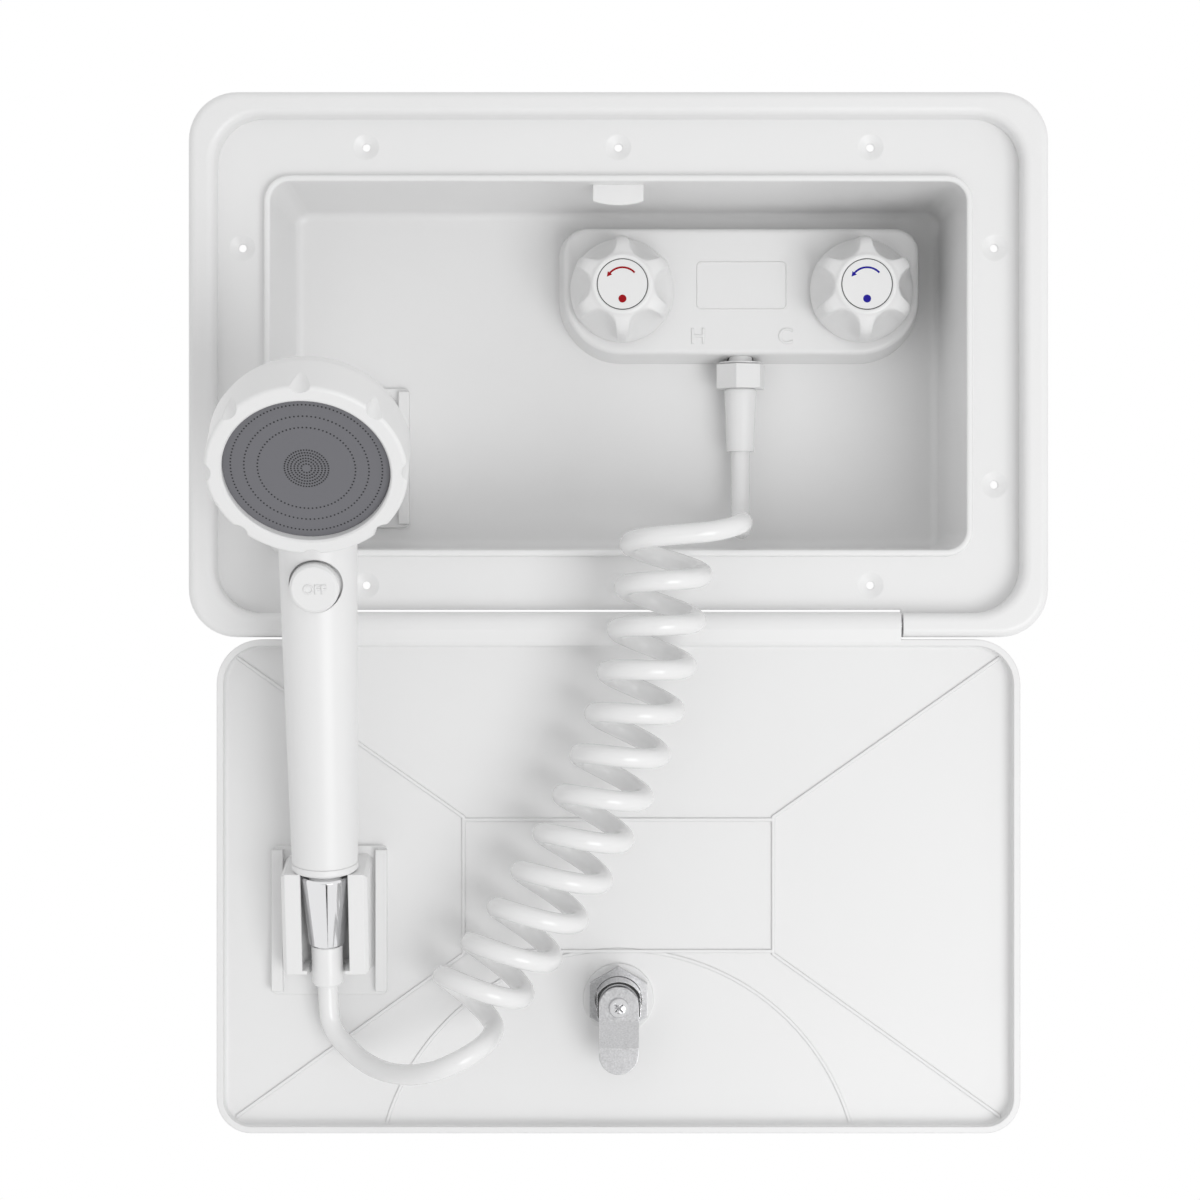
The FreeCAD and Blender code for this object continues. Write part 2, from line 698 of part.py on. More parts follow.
def make_lock():
    """Threaded barrel, hexagon nut, key plug, cranked cam and its screw."""
    barrel = new_body("lock_barrel")
    turned(
        barrel,
        [
            ("lock_plug / 2 + running_play", "0"),
            ("lock_head / 2", "0"),
            ("lock_head / 2", "lock_head_thick"),
            ("lock_barrel / 2", "lock_head_thick"),
            ("lock_barrel / 2", "lock_long - lock_plug_proud"),
            ("lock_plug / 2 + running_play", "lock_long - lock_plug_proud"),
        ],
    )
    flats = new_sketch(barrel, "Flats", offset="door_skin + lock_boss_rise + hex_thick + slip")
    for side in ("", "-"):
        inner, outer = "(lock_barrel / 2 - 1)", "(lock_barrel / 2 + 1)"
        plain_box(flats, side + inner, side + outer, "-lock_barrel", "lock_barrel")
    pocket(barrel, flats, "lock_long", reverse=True)
    on_lock(barrel, "0")

    nut = new_body("lock_nut")
    blank = new_sketch(nut, "Hexagon")
    hexagon(blank, "hex_flats")
    circle(blank, "0", "0", "lock_barrel / 2 + slip")
    pad(nut, blank, "hex_thick")
    on_lock(nut, "door_skin + lock_boss_rise")

    plug = new_body("lock_plug")
    disc = new_sketch(plug, "Disc")
    circle(disc, "0", "0", "lock_plug / 2")
    pad(plug, disc, "lock_long")
    square = new_sketch(plug, "CamSquare", offset="lock_long")
    half = "(lock_square / 2)"
    plain_box(square, "-" + half, half, "-" + half, half)
    pad(plug, square, "cam_thick")
    keyway = new_sketch(plug, "Keyway")
    plain_box(keyway, "-0.9", "0.9", "-lock_plug / 3", "lock_plug / 3")
    pocket(plug, keyway, "lock_long / 2", reverse=True)
    thread = new_sketch(plug, "ScrewBore", offset="lock_long + cam_thick")
    circle(thread, "0", "0", "lock_square / 4")
    pocket(plug, thread, "lock_long / 3")
    on_lock(plug, "0")

    cam = new_body("lock_cam")
    side = new_sketch(cam, "CrankProfile", "YZ_Plane")
    outline(
        side,
        [
            ("-cam_reach", "-cam_crank"),
            ("-(cam_flat + cam_slope)", "-cam_crank"),
            ("-cam_flat", "0"),
            ("cam_wide / 2", "0"),
            ("cam_wide / 2", "cam_thick"),
            ("-(cam_flat - cam_thick * 0.35)", "cam_thick"),
            ("-(cam_flat + cam_slope - cam_thick * 0.35)", "cam_thick - cam_crank"),
            ("-cam_reach", "cam_thick - cam_crank"),
        ],
    )
    pad(cam, side, "cam_wide", both_ways=True)
    square = new_sketch(cam, "SquareHole")
    half = "(lock_square / 2 + slip)"
    plain_box(square, "-" + half, half, "-" + half, half)
    pocket(cam, square, "cam_thick * 2", both_ways=True)
    round_edges(
        cam,
        lambda edge: abs(edge.BoundBox.ZLength - value("cam_thick")) < 0.01
        and abs(abs(edge.BoundBox.XMin) - value("cam_wide / 2")) < 0.01
        and edge.BoundBox.YLength < 0.01,
        "cam_wide / 2 - slip",
    )
    on_lock(cam, "lock_long")

    screw = new_body("cam_screw")
    turned(
        screw,
        [
            ("0", "-lock_long / 4"),
            ("lock_square / 4 - slip", "-lock_long / 4"),
            ("lock_square / 4 - slip", "0"),
            ("cam_screw_head / 2", "0"),
            ("cam_screw_head / 2", "1.2"),
            ("cam_screw_head / 3", "2.2"),
            ("0", "2.2"),
        ],
    )
    for wide, tall in (("0.5", "2"), ("2", "0.5")):
        slot = new_sketch(screw, "Slot", offset="2.2")
        plain_box(slot, "-" + wide, wide, "-" + tall, tall)
        pocket(screw, slot, "1")
    on_lock(screw, "lock_long + cam_thick")


def make_holder(label, position):
    """Rail plate and cradle for the handset's cone. Their frame is the middle of the plate's back."""
    base = new_body(label + "_rails")
    plate = new_sketch(base, "Plate")
    half, tall = "(holder_wide / 2)", "(holder_tall / 2)"
    rounded_box(plate, "-" + half, half, "-" + tall, tall, "holder_plate")
    pad(base, plate, "holder_plate")
    rails = new_sketch(base, "Rails", offset="holder_plate")
    for side in ("-", ""):
        inner = side + "(holder_wide / 2 - rail_wide)"
        plain_box(rails, side + half, inner, "-rail_tall / 2", "rail_tall / 2")
    pad(base, rails, "rail_rise")
    place(base, position, FRONT)

    cradle = new_body(label + "_cradle")
    side = new_sketch(cradle, "SideProfile", "YZ_Plane")
    foot, nose = "holder_plate", "(axis_out + cradle_arm)"
    seat = "(axis_up - seat_gap / cos(lean))"
    outline(
        side,
        [
            ("-cradle_low", nose + " - (%s + cradle_low) * tan(lean)" % seat),
            ("%s - cradle_arm * tan(lean)" % seat, nose),
            ("%s + (axis_out - holder_plate) * tan(lean)" % seat, foot),
            ("-cradle_low", foot),
        ],
    )
    pad(cradle, side, "holder_wide - 2 * rail_wide - 2 * rail_gap", both_ways=True)
    slot = new_sketch(cradle, "ConeSlot", "XZ_Plane", "-axis_up", "axis_out", "lean")
    slot_round = "(cone_top + seat_gap * 1.5)"
    mouth = "(%s - cone_catch)" % slot_round
    mouth_out = "sqrt(%s ^ 2 - %s ^ 2)" % (slot_round, mouth)
    outline(
        slot,
        [
            (mouth, mouth_out),
            (mouth, "holder_wide"),
            ("-" + mouth, "holder_wide"),
            ("-" + mouth, mouth_out, "+" + slot_round),
            ("0", "-" + slot_round, "+" + slot_round),
        ],
    )
    pocket(cradle, slot, "(axis_up + cradle_low - cradle_floor) / cos(lean)", reverse=True)
    gate = new_sketch(cradle, "SleeveSlot", "XZ_Plane", "-axis_up", "axis_out", "lean")
    gate_round = "(cone_bottom + seat_gap)"
    outline(
        gate,
        [
            (gate_round, "0"),
            (gate_round, "holder_wide"),
            ("-" + gate_round, "holder_wide"),
            ("-" + gate_round, "0", "+" + gate_round),
            ("0", "-" + gate_round, "+" + gate_round),
        ],
    )
    pocket(cradle, gate, "holder_tall * 2", reverse=True)
    half = value("holder_wide / 2 - rail_wide - rail_gap")
    plate_front = value("holder_plate")
    round_edges(
        cradle,
        lambda edge: abs(abs(edge.BoundBox.XMin) - half) < 0.01
        and edge.BoundBox.XLength < 0.01
        and edge.BoundBox.ZMax > plate_front + 1,
        "cradle_chamfer",
        "PartDesign::Chamfer",
    )
    place(cradle, position, FRONT)


HANDSET_OUT = "(hinge_front + %s + axis_out)" % DOOR_FLOOR
HOLDER_DOWN = "(hinge_drop + holder_drop + 1.45)"
HANDSET_DOWN = "(%s - axis_up)" % HOLDER_DOWN


def on_handset(piece, up="0", out="0", turn=Rotation()):
    """Puts a piece on the leaning handset, at a height above the grip's foot and a distance in front."""
    position = (
        "-holder_across",
        "-%s - (%s) * sin(lean) - (%s) * cos(lean)" % (HANDSET_OUT, up, out),
        "-%s + (%s) * cos(lean) - (%s) * sin(lean)" % (HANDSET_DOWN, up, out),
    )
    place(piece, position, Rotation(Vector(1, 0, 0), value("lean")).multiply(turn))


def on_head(piece):
    """Puts a piece on the spray head: Z out of the spray face, the origin on the ring's front."""
    on_handset(piece, "head_up", "head_forward", Rotation(Vector(1, 0, 0), 90 + value("head_tilt")))


def head_sketch(body, name, depth):
    """A sketch in the grip's body, square to the spray head, at a depth behind the ring's front."""
    forward = "-head_forward + (%s) * cos(head_tilt)" % depth
    up = "head_up + (%s) * sin(head_tilt)" % depth
    return new_sketch(body, name, "XY_Plane", up, forward, "90 + head_tilt")


CUP_EDGE = "(ring_round - 1.2)"
SPIGOT = "(ring_bore - running_play)"
FACE_STEP = "(face_sink + face_thick)"
FACE_BACK = "(face_sink + face_thick * 2 - 0.4)"
CORE_FRONT = "(face_sink + face_thick * 2 + 0.6)"


def make_grip():
    """Tapered grip with the spray head's cup, the button's pocket and the water way."""
    body = new_body("handset_body")
    turned(
        body,
        [
            ("0", "collar_tall"),
            ("grip_low", "collar_tall"),
            ("grip_high", "grip_long - 30"),
            ("grip_high", "grip_long", "+grip_high"),
            ("0", "grip_long + grip_high"),
        ],
        "GripProfile",
    )
    room = head_sketch(body, "RingRoom", "ring_deep + seat_gap")
    circle(room, "0", "0", "ring_round + seat_gap * 2")
    pocket(body, room, "ring_deep * 3", reverse=True)
    cup = new_sketch(body, "CupProfile", "XZ_Plane", "head_forward", "head_up", "90 + head_tilt")
    outline(
        cup,
        [
            ("0", "-(cup_deep - 4)"),
            ("grip_high - 3", "-(cup_deep - 5)", "+cup_deep * 0.7"),
            ("ring_bore - 4", "-(ring_deep - 3)"),
            ("ring_bore - 4", "-%s - 0.8" % FACE_BACK),
            (SPIGOT, "-%s - 0.8" % FACE_BACK),
            (SPIGOT, "-(ring_deep + seat_gap)"),
            (CUP_EDGE, "-(ring_deep + seat_gap)"),
            (CUP_EDGE, "-(ring_deep + 3)", "-cup_deep * 0.7"),
            ("grip_high", "-(cup_deep - 1)"),
            ("0", "-cup_deep"),
        ],
    )
    spin = body.newObject("PartDesign::Revolution", "Cup")
    spin.Profile = cup
    spin.ReferenceAxis = (cup, ["V_Axis"])
    spin.Angle = 360.0
    well = new_sketch(body, "ButtonPocket", "XZ_Plane", "grip_high + 10")
    circle(well, "0", "button_up", "button_round + pocket_play")
    pocket(body, well, "10 + button_thick + button_travel + 1 - button_proud")
    stem = new_sketch(body, "StemBore", "XZ_Plane", "grip_high")
    circle(stem, "0", "button_up", "button_stem + running_play")
    pocket(body, stem, "grip_high + water_way")
    way = new_sketch(body, "WaterWay", "XY_Plane", "0", "0", "-atan(water_way_back / grip_long)")
    circle(way, "0", "0", "water_way")
    pocket(body, way, "grip_long + 1", reverse=True)
    drop = head_sketch(body, "HeadWay", "ring_deep - 4")
    circle(drop, "0", "-24", "water_way * 0.8")
    pocket(body, drop, "cup_deep - ring_deep + 3.5")
    on_handset(body)


def make_spray_head():
    """Knurled ring with its grey spray face, and the fixed core and seal behind them."""
    ring = new_body("head_ring")
    turned(
        ring,
        [
            ("ring_window", "-" + FACE_STEP),
            ("ring_window", "-0.7"),
            ("ring_window + 0.7", "0"),
            ("ring_round - 1.6", "0", "-1.6"),
            ("ring_round", "-1.6"),
            ("ring_round", "-ring_deep + 1"),
            ("ring_round - 1", "-ring_deep"),
            ("ring_bore", "-ring_deep"),
            ("ring_bore", "-" + FACE_STEP),
        ],
    )
    notch = new_sketch(ring, "Notch", offset="0.5")
    circle(notch, "0", "ring_round + notch_wide / 2", "notch_wide")
    cut = pocket(ring, notch, "ring_deep * 0.6", taper="-13.3")
    ring_pattern(ring, cut, notch, "notch_count")
    on_head(ring)

    face = new_body("spray_face")
    turned(
        face,
        [
            ("0", "-" + FACE_BACK),
            ("ring_bore - slip", "-" + FACE_BACK),
            ("ring_bore - slip", "-" + FACE_STEP),
            ("ring_window - slip", "-" + FACE_STEP),
            ("ring_window - slip", "-face_sink"),
            ("0", "-face_sink"),
        ],
    )
    on_head(face)

    core = new_body("spray_core")
    turned(
        core,
        [
            ("0", "-ring_deep + 3"),
            ("ring_bore / 6", "-ring_deep + 3"),
            ("ring_bore / 6", "-%s - 5" % CORE_FRONT),
            ("ring_bore - 4.4", "-%s - 5" % CORE_FRONT),
            ("ring_bore - 4.4", "-" + CORE_FRONT),
            ("0", "-" + CORE_FRONT),
        ],
    )
    jets = new_sketch(core, "Jets", offset="-" + CORE_FRONT)
    circle(jets, "0", "ring_window * 0.6", "2.2")
    cut = pocket(core, jets, "face_thick * 3")
    ring_pattern(core, cut, jets, "6")
    on_head(core)

    seal = drum("spray_seal", "ring_bore - 4.6", "face_thick * 0.3", "ring_window - 5")
    keep(seal, "spray_seal")
    on_handset(
        seal,
        "head_up + %s * sin(head_tilt)" % CORE_FRONT,
        "head_forward - %s * cos(head_tilt)" % CORE_FRONT,
        Rotation(Vector(1, 0, 0), 90 + value("head_tilt")),
    )


def ring_pattern(body, feature, sketch, count):
    """Repeats a cut evenly round the axis of its sketch."""
    pattern = body.newObject("PartDesign::PolarPattern", "AllRound")
    pattern.Originals = [feature]
    pattern.Axis = (sketch, ["N_Axis"])
    pattern.Angle = 360.0
    pattern.Occurrences = int(value(count))
    pattern.setExpression("Occurrences", bound(count))
    body.Tip = pattern
    return pattern


def make_button():
    """The pause button: a round cap on a stem that presses into the water way."""
    button = new_body("pause_button")
    cap = "(grip_high + button_proud)"
    turned(
        button,
        [
            ("0", "-water_way / 2"),
            ("button_stem", "-water_way / 2"),
            ("button_stem", cap + " - button_thick"),
            ("button_round", cap + " - button_thick"),
            ("button_round", cap + " - 1"),
            ("button_round - 1", cap),
            ("0", cap),
        ],
    )
    on_handset(button, "button_up", "0", FRONT)


def make_handset_foot():
    """Collar and stub of the grip, cone nut, washer and the hose's lower sleeve."""
    collar = new_body("handle_collar")
    turned(
        collar,
        [
            ("water_way", "-stub_long"),
            ("stub_round", "-stub_long"),
            ("stub_round", "0"),
            ("collar_round - 0.8", "0"),
            ("collar_round", "0.8"),
            ("collar_round", "collar_tall"),
            ("water_way", "collar_tall"),
        ],
    )
    on_handset(collar)
    bore = "(stub_round + slip)"
    shoulder = "-(stub_long + washer_thick + 2)"
    tail = "-(cone_drop + cone_long)"
    cone = new_body("cone_nut")
    turned(
        cone,
        [
            ("low_sleeve_round - 1", tail),
            ("cone_bottom - 0.5", tail),
            ("cone_bottom", tail + " + 0.6"),
            ("cone_top", "-cone_drop - 1"),
            ("cone_top - 0.5", "-cone_drop"),
            (bore, "-cone_drop"),
            (bore, shoulder),
            ("low_sleeve_round - 1", shoulder),
        ],
    )
    on_handset(cone)
    washer = drum("cone_washer", "stub_round - slip", "washer_thick", "water_way")
    keep(washer, "cone_washer")
    on_handset(washer, "-(stub_long + washer_thick)")
    sleeve = new_body("lower_sleeve")
    turned(
        sleeve,
        [
            ("hose_round - 1", tail + " - low_sleeve_long"),
            ("low_sleeve_round - 0.6", tail + " - low_sleeve_long"),
            ("low_sleeve_round", tail + " - low_sleeve_long + 1"),
            ("low_sleeve_round", tail + " - seat_gap"),
            ("low_sleeve_round - 1 - running_play", tail + " - seat_gap"),
            ("low_sleeve_round - 1 - running_play", shoulder),
            ("stub_round - slip", shoulder),
            ("stub_round - slip", "-(stub_long + washer_thick)"),
            ("hose_round - 1", "-(stub_long + washer_thick)"),
        ],
    )
    on_handset(sleeve)


def in_valve(piece, across="0", up="0", out="0", turn=Rotation()):
    """Puts a piece in the valve's own frame: its middle on the back panel's face, Z to the front."""
    position = ("valve_across + (%s)" % across, "tub_deep - (%s)" % out, "valve_up + (%s)" % up)
    place(piece, position, FRONT.multiply(turn))


def make_escutcheon():
    """The drafted cover of the valve, a shell that is open to the back."""
    body = new_body("escutcheon")
    wide, tall = "(valve_wide / 2)", "(valve_tall / 2)"
    cover = new_sketch(body, "Cover")
    rounded_box(cover, "-" + wide, wide, "-" + tall, tall, "valve_low_corner", "valve_top_corner")
    pad(body, cover, "valve_thick", taper="-valve_draft")
    front = value("valve_thick")
    round_edges(body, lambda edge: lies_at(edge, "Z", front), "valve_round")
    hollow = new_sketch(body, "Hollow")
    wide, tall = "(valve_wide / 2 - valve_wall)", "(valve_tall / 2 - valve_wall)"
    low, high = "(valve_low_corner - valve_wall)", "(valve_top_corner - valve_wall)"
    rounded_box(hollow, "-" + wide, wide, "-" + tall, tall, low, high)
    pocket(body, hollow, "valve_thick - valve_wall", reverse=True, taper="-valve_draft")
    holes = new_sketch(body, "BonnetHoles", offset="valve_thick")
    for across in ("-knob_spacing / 2", "knob_spacing / 2"):
        circle(holes, across, "0", "bonnet_flats / 2 / cos(30) + 0.4")
    pocket(body, holes, "valve_wall * 1.5")
    slot = new_sketch(body, "OutletSlot", "XZ_Plane", "valve_tall / 2 - valve_wall * 2.4")
    half = "(duct_round + seat_gap)"
    outline(
        slot,
        [
            ("-" + half, "-1"),
            (half, "-1"),
            (half, "duct_depth", "+" + half),
            ("0", "duct_depth + " + half, "+" + half),
            ("-" + half, "duct_depth"),
        ],
    )
    pocket(body, slot, "valve_wall * 4", reverse=True)
    in_valve(body)


def make_manifold():
    """Valve body: two seats joined by a cross duct, two inlet shanks through the panel and the outlet."""
    body = new_body("valve_manifold")
    duct = new_sketch(body, "CrossDuct", "YZ_Plane")
    circle(duct, "0", "duct_depth", "duct_round")
    pad(body, duct, "knob_spacing", both_ways=True)
    seats = new_sketch(body, "Seats", offset="seat_gap")
    shanks = new_sketch(body, "Shanks", offset="seat_gap + 1")
    for across in ("-knob_spacing / 2", "knob_spacing / 2"):
        circle(seats, across, "0", "seat_round")
        circle(shanks, across, "0", "shank_round")
    pad(body, seats, "valve_thick - valve_wall - 2 * seat_gap")
    pad(body, shanks, "seat_gap + 1 + tub_wall + shank_reach", reverse=True)
    down = new_sketch(body, "OutletDuct", "XZ_Plane")
    circle(down, "0", "duct_depth", "duct_round")
    pad(body, down, "outlet_drop")
    collar = new_sketch(body, "OutletCollar", "XZ_Plane", "valve_tall / 2 + seat_gap")
    circle(collar, "0", "duct_depth", "outlet_collar")
    pad(body, collar, "outlet_drop - valve_tall / 2 - seat_gap")
    thread = new_sketch(body, "OutletThread", "XZ_Plane", "outlet_drop")
    circle(thread, "0", "duct_depth", "outlet_thread")
    pad(body, thread, "outlet_nut_tall - 2.7")
    bores = new_sketch(body, "SeatBores", offset="valve_thick - valve_wall - seat_gap")
    inlets = new_sketch(body, "InletBores", offset="-tub_wall - shank_reach")
    for across in ("-knob_spacing / 2", "knob_spacing / 2"):
        circle(bores, across, "0", "cartridge_round + running_play")
        circle(inlets, across, "0", "shank_round - 3")
    pocket(body, bores, "valve_thick - valve_wall - 2 * seat_gap - 2")
    pocket(body, inlets, "tub_wall + shank_reach + 1", reverse=True)
    groove = "-(tub_wall + lock_washer_thick + lock_nut_thick + 1)"
    reliefs = new_sketch(body, "ThreadReliefs", offset=groove)
    for across in ("-knob_spacing / 2", "knob_spacing / 2"):
        circle(reliefs, across, "0", "shank_round + 1")
        circle(reliefs, across, "0", "shank_round - relief_deep")
    pocket(body, reliefs, "relief_wide")
    ports = new_sketch(body, "Ports", offset="5")
    for across in ("-knob_spacing / 2", "knob_spacing / 2"):
        circle(ports, across, "0", "stem_round")
    pocket(body, ports, "6")
    cross = new_sketch(body, "CrossBore", "YZ_Plane")
    circle(cross, "0", "duct_depth", "duct_round - 1.2")
    pocket(body, cross, "knob_spacing - 2 * cartridge_round", both_ways=True)
    spout = new_sketch(body, "OutletBore", "XZ_Plane")
    circle(spout, "0", "duct_depth", "duct_round - 1.2")
    pocket(body, spout, "outlet_drop + outlet_nut_tall", reverse=True)
    in_valve(body)


def make_tap(name, across):
    """Cartridge, stem, lobed knob, knob screw and index cap of one side."""
    cartridge = new_body(name + "_cartridge")
    turned(
        cartridge,
        [
            ("stem_round + running_play", "seat_gap + 2.2"),
            ("cartridge_round", "seat_gap + 2.2"),
            ("cartridge_round", "valve_thick - valve_wall"),
            ("stem_round + running_play", "valve_thick - valve_wall"),
        ],
    )
    bonnet = new_sketch(cartridge, "Bonnet", offset="valve_thick - valve_wall - 0.1")
    hexagon(bonnet, "bonnet_flats")
    circle(bonnet, "0", "0", "stem_round + running_play")
    pad(cartridge, bonnet, "valve_wall + 0.1")
    in_valve(cartridge, across)

    foot = "(valve_thick + knob_clear)"
    head = "(%s + knob_tall * 0.72)" % foot
    stem = new_body(name + "_stem")
    turned(
        stem,
        [
            ("0", "seat_gap + 4"),
            ("stem_round", "seat_gap + 4"),
            ("stem_round", head),
            ("stem_round / 2.4", head),
            ("stem_round / 2.4", head + " - knob_tall / 3"),
            ("0", head + " - knob_tall / 3"),
        ],
    )
    in_valve(stem, across)

    knob = new_body(name + "_knob")
    profile = [
        ("stem_round + running_play", "0"),
        ("knob_round - 1", "0"),
        ("knob_round", "1"),
        ("knob_round", "5"),
        ("knob_round * 0.66", "knob_tall - 2"),
        ("knob_round * 0.58", "knob_tall"),
        ("index_round + slip", "knob_tall"),
        ("index_round + slip", "knob_tall - index_thick"),
        ("stem_round + 1", "knob_tall - index_thick"),
        ("stem_round + 1", "knob_tall * 0.86"),
        ("stem_round / 2 + 0.4", "knob_tall * 0.86"),
        ("stem_round / 2 + 0.4", "knob_tall * 0.72 + seat_gap"),
        ("stem_round + running_play", "knob_tall * 0.72 + seat_gap"),
    ]
    turned(knob, profile)
    flute = new_sketch(knob, "Flute", "XY_Plane", "knob_tall", "0", "flute_lean")
    circle(flute, "0", "flute_reach / cos(flute_lean)", "flute_round")
    cut = pocket(knob, flute, "knob_tall * 2")
    axis = new_sketch(knob, "FluteAxis")
    circle(axis, "0", "0", "knob_round")
    ring_pattern(knob, cut, axis, "knob_lobes")
    in_valve(knob, across, "0", foot, Rotation(Vector(0, 0, 1), 30))

    screw = new_body(name + "_screw")
    seat = "(knob_tall * 0.86)"
    turned(
        screw,
        [
            ("0", "knob_tall * 0.45"),
            ("stem_round / 2.4 - slip", "knob_tall * 0.45"),
            ("stem_round / 2.4 - slip", seat),
            ("knob_screw_head", seat),
            ("knob_screw_head", seat + " + 1"),
            ("knob_screw_head * 0.6", seat + " + 2"),
            ("0", seat + " + 2"),
        ],
    )
    in_valve(screw, across, "0", foot)

    cap = drum(name + "_index", "index_round", "index_thick")
    keep(cap, name + "_index")
    in_valve(cap, across, "0", foot + " + knob_tall - index_thick")


def make_back_nuts():
    """Rubber washers and lock nuts that hold the shanks to the back panel."""
    for name, side in (("hot", "-"), ("cold", "")):
        across = side + "knob_spacing / 2"
        washer = drum(name + "_washer", "lock_washer_round", "lock_washer_thick", "shank_round + slip")
        keep(washer, name + "_washer")
        in_valve(washer, across, "0", "-tub_wall - lock_washer_thick")
        nut = new_body(name + "_lock_nut")
        blank = new_sketch(nut, "Hexagon")
        hexagon(blank, "lock_nut_flats")
        circle(blank, "0", "0", "shank_round + slip")
        pad(nut, blank, "lock_nut_thick")
        in_valve(nut, across, "0", "-tub_wall - lock_washer_thick - lock_nut_thick")


def at_outlet(piece, drop, turn=Rotation()):
    """Puts a piece below the valve's outlet, its own Z axis pointing up."""
    place(piece, ("valve_across", "tub_deep - duct_depth", "valve_up - (%s)" % drop), turn)


def make_outlet():
    """Hexagon coupling nut, washer and upper sleeve at the valve's end of the hose."""
    nut = new_body("hose_nut")
    blank = new_sketch(nut, "Hexagon")
    hexagon(blank, "outlet_nut_flats")
    circle(blank, "0", "0", "outlet_sleeve_low - seat_gap")
    pad(nut, blank, "outlet_nut_tall - seat_gap")
    bore = new_sketch(nut, "ThreadBore", offset="outlet_nut_tall - seat_gap")
    circle(bore, "0", "0", "outlet_thread + slip")
    pocket(nut, bore, "outlet_nut_tall - seat_gap - 1.7")
    foot = "outlet_drop + outlet_nut_tall"
    at_outlet(nut, foot, Rotation(Vector(0, 0, 1), value("outlet_nut_turn")))
    washer = drum("hose_washer", "outlet_thread - slip", "0.8", "hose_round")
    keep(washer, "hose_washer")
    at_outlet(washer, foot + " - 1.8")
    sleeve = new_body("upper_sleeve")
    neck = "(outlet_sleeve_low - seat_gap - running_play)"
    turned(
        sleeve,
        [
            ("hose_round - 1", "-outlet_sleeve_long"),
            ("outlet_sleeve_low", "-outlet_sleeve_long"),
            ("outlet_sleeve_top", "-1"),
            ("outlet_sleeve_top - 0.4", "-seat_gap / 2"),
            (neck, "-seat_gap / 2"),
            (neck, "1.8"),
            ("hose_round - 1", "1.8"),
        ],
    )
    at_outlet(sleeve, foot)


def coil_point(turn):
    """The coil's centre line: a helix on an axis that is a long arc, its discs turning as they go."""
    start = math.radians(value("coil_lean"))
    rate = math.radians(value("coil_lean_rate"))
    lean = start + rate * turn
    spread = value("coil_pitch") / rate
    across = value("coil_start_across") + spread * (math.cos(lean) - math.cos(start))
    up = -value("coil_start_down") - spread * (math.sin(lean) - math.sin(start))
    curl = math.radians(value("curl_lean + curl_lean_rate * %.6f" % turn))
    side = Vector(math.cos(curl), 0, -math.sin(curl))
    round_angle = 2 * math.pi * turn
    swing = side * -math.sin(round_angle) + Vector(0, -math.cos(round_angle), 0)
    return Vector(across, -value("coil_front"), up) + swing * value("coil_round")


def coil_heading(turn):
    return (coil_point(turn + 0.001) - coil_point(turn - 0.001)).normalize()


def straight(start, stop):
    return Part.LineSegment(start, stop).toShape()


def bend(start, heading, stop):
    """The arc that leaves start along a heading and ends at stop."""
    chord = stop - start
    half = heading.getAngle(chord) / 2
    aside = heading - chord * (heading.dot(chord) / chord.dot(chord))
    middle = start + chord * 0.5 + aside.normalize() * (chord.Length / 2 * math.tan(half))
    return Part.Arc(start, middle, stop).toShape()


def two_bends(start, heading, stop, last_heading):
    """A pair of tangent arcs between two points with given headings."""
    chord = stop - start
    both = heading + last_heading
    spread = 2 * (1 - heading.dot(last_heading))
    along = chord.dot(both)
    reach = (math.sqrt(along ** 2 + spread * chord.dot(chord)) - along) / spread
    meeting = (start + heading * reach + stop - last_heading * reach) * 0.5
    first = bend(start, heading, meeting)
    joint_heading = (stop - last_heading * reach - start - heading * reach).normalize()
    return [first, bend(meeting, joint_heading, stop)]


def coil_path():
    """Edges of the coil, with a straight end of two hose radii at each side."""
    last = value("coil_turns")
    count = round(last * 4)
    turns = [last * index / count for index in range(count + 1)]
    points = [coil_point(turn) for turn in turns]
    headings = [coil_heading(turn) for turn in turns]
    lead = 2 * value("hose_round")
    edges = [straight(points[0] - headings[0] * lead, points[0])]
    for index in range(count):
        edges += two_bends(points[index], headings[index], points[index + 1], headings[index + 1])
    edges.append(straight(points[-1], points[-1] + headings[-1] * lead))
    return edges


def rounded_path(corners, name):
    """Straight runs joined by tangent arcs."""
    edges = []
    radii = []
    at = corners[0]
    for before, corner, after in zip(corners, corners[1:], corners[2:]):
        into, out = corner - before, after - corner
        turn = into.getAngle(out)
        reach = 0.45 * min(into.Length, out.Length)
        into.normalize()
        out.normalize()
        if turn < 0.01:
            continue
        begin, end = corner - into * reach, corner + out * reach
        edges.append(straight(at, begin))
        edges.append(bend(begin, into, end))
        radii.append(reach / math.tan(turn / 2))
        at = end
    edges.append(straight(at, corners[-1]))
    print(name, "bend radii", [round(radius, 1) for radius in radii])
    return edges


def hose(label, edges):
    """A stretch of hose swept along joined edges."""
    start = edges[0].Vertexes[0].Point
    heading = edges[0].tangentAt(edges[0].FirstParameter)
    rim = Part.Wire([Part.Circle(start, heading, value("hose_round")).toShape()])
    sweep = Part.BRepOffsetAPI.MakePipeShell(Part.Wire(edges))
    sweep.add(rim)
    sweep.build()
    sweep.makeSolid()
    piece = doc.addObject("Part::Feature", label)
    piece.Shape = sweep.shape()
    length = sum(edge.Length for edge in edges)
    expected = math.pi * value("hose_round") ** 2 * length
    print(label, "length", round(length, 1), "volume ratio", round(piece.Shape.Volume / expected, 4))
    return keep(piece, label)


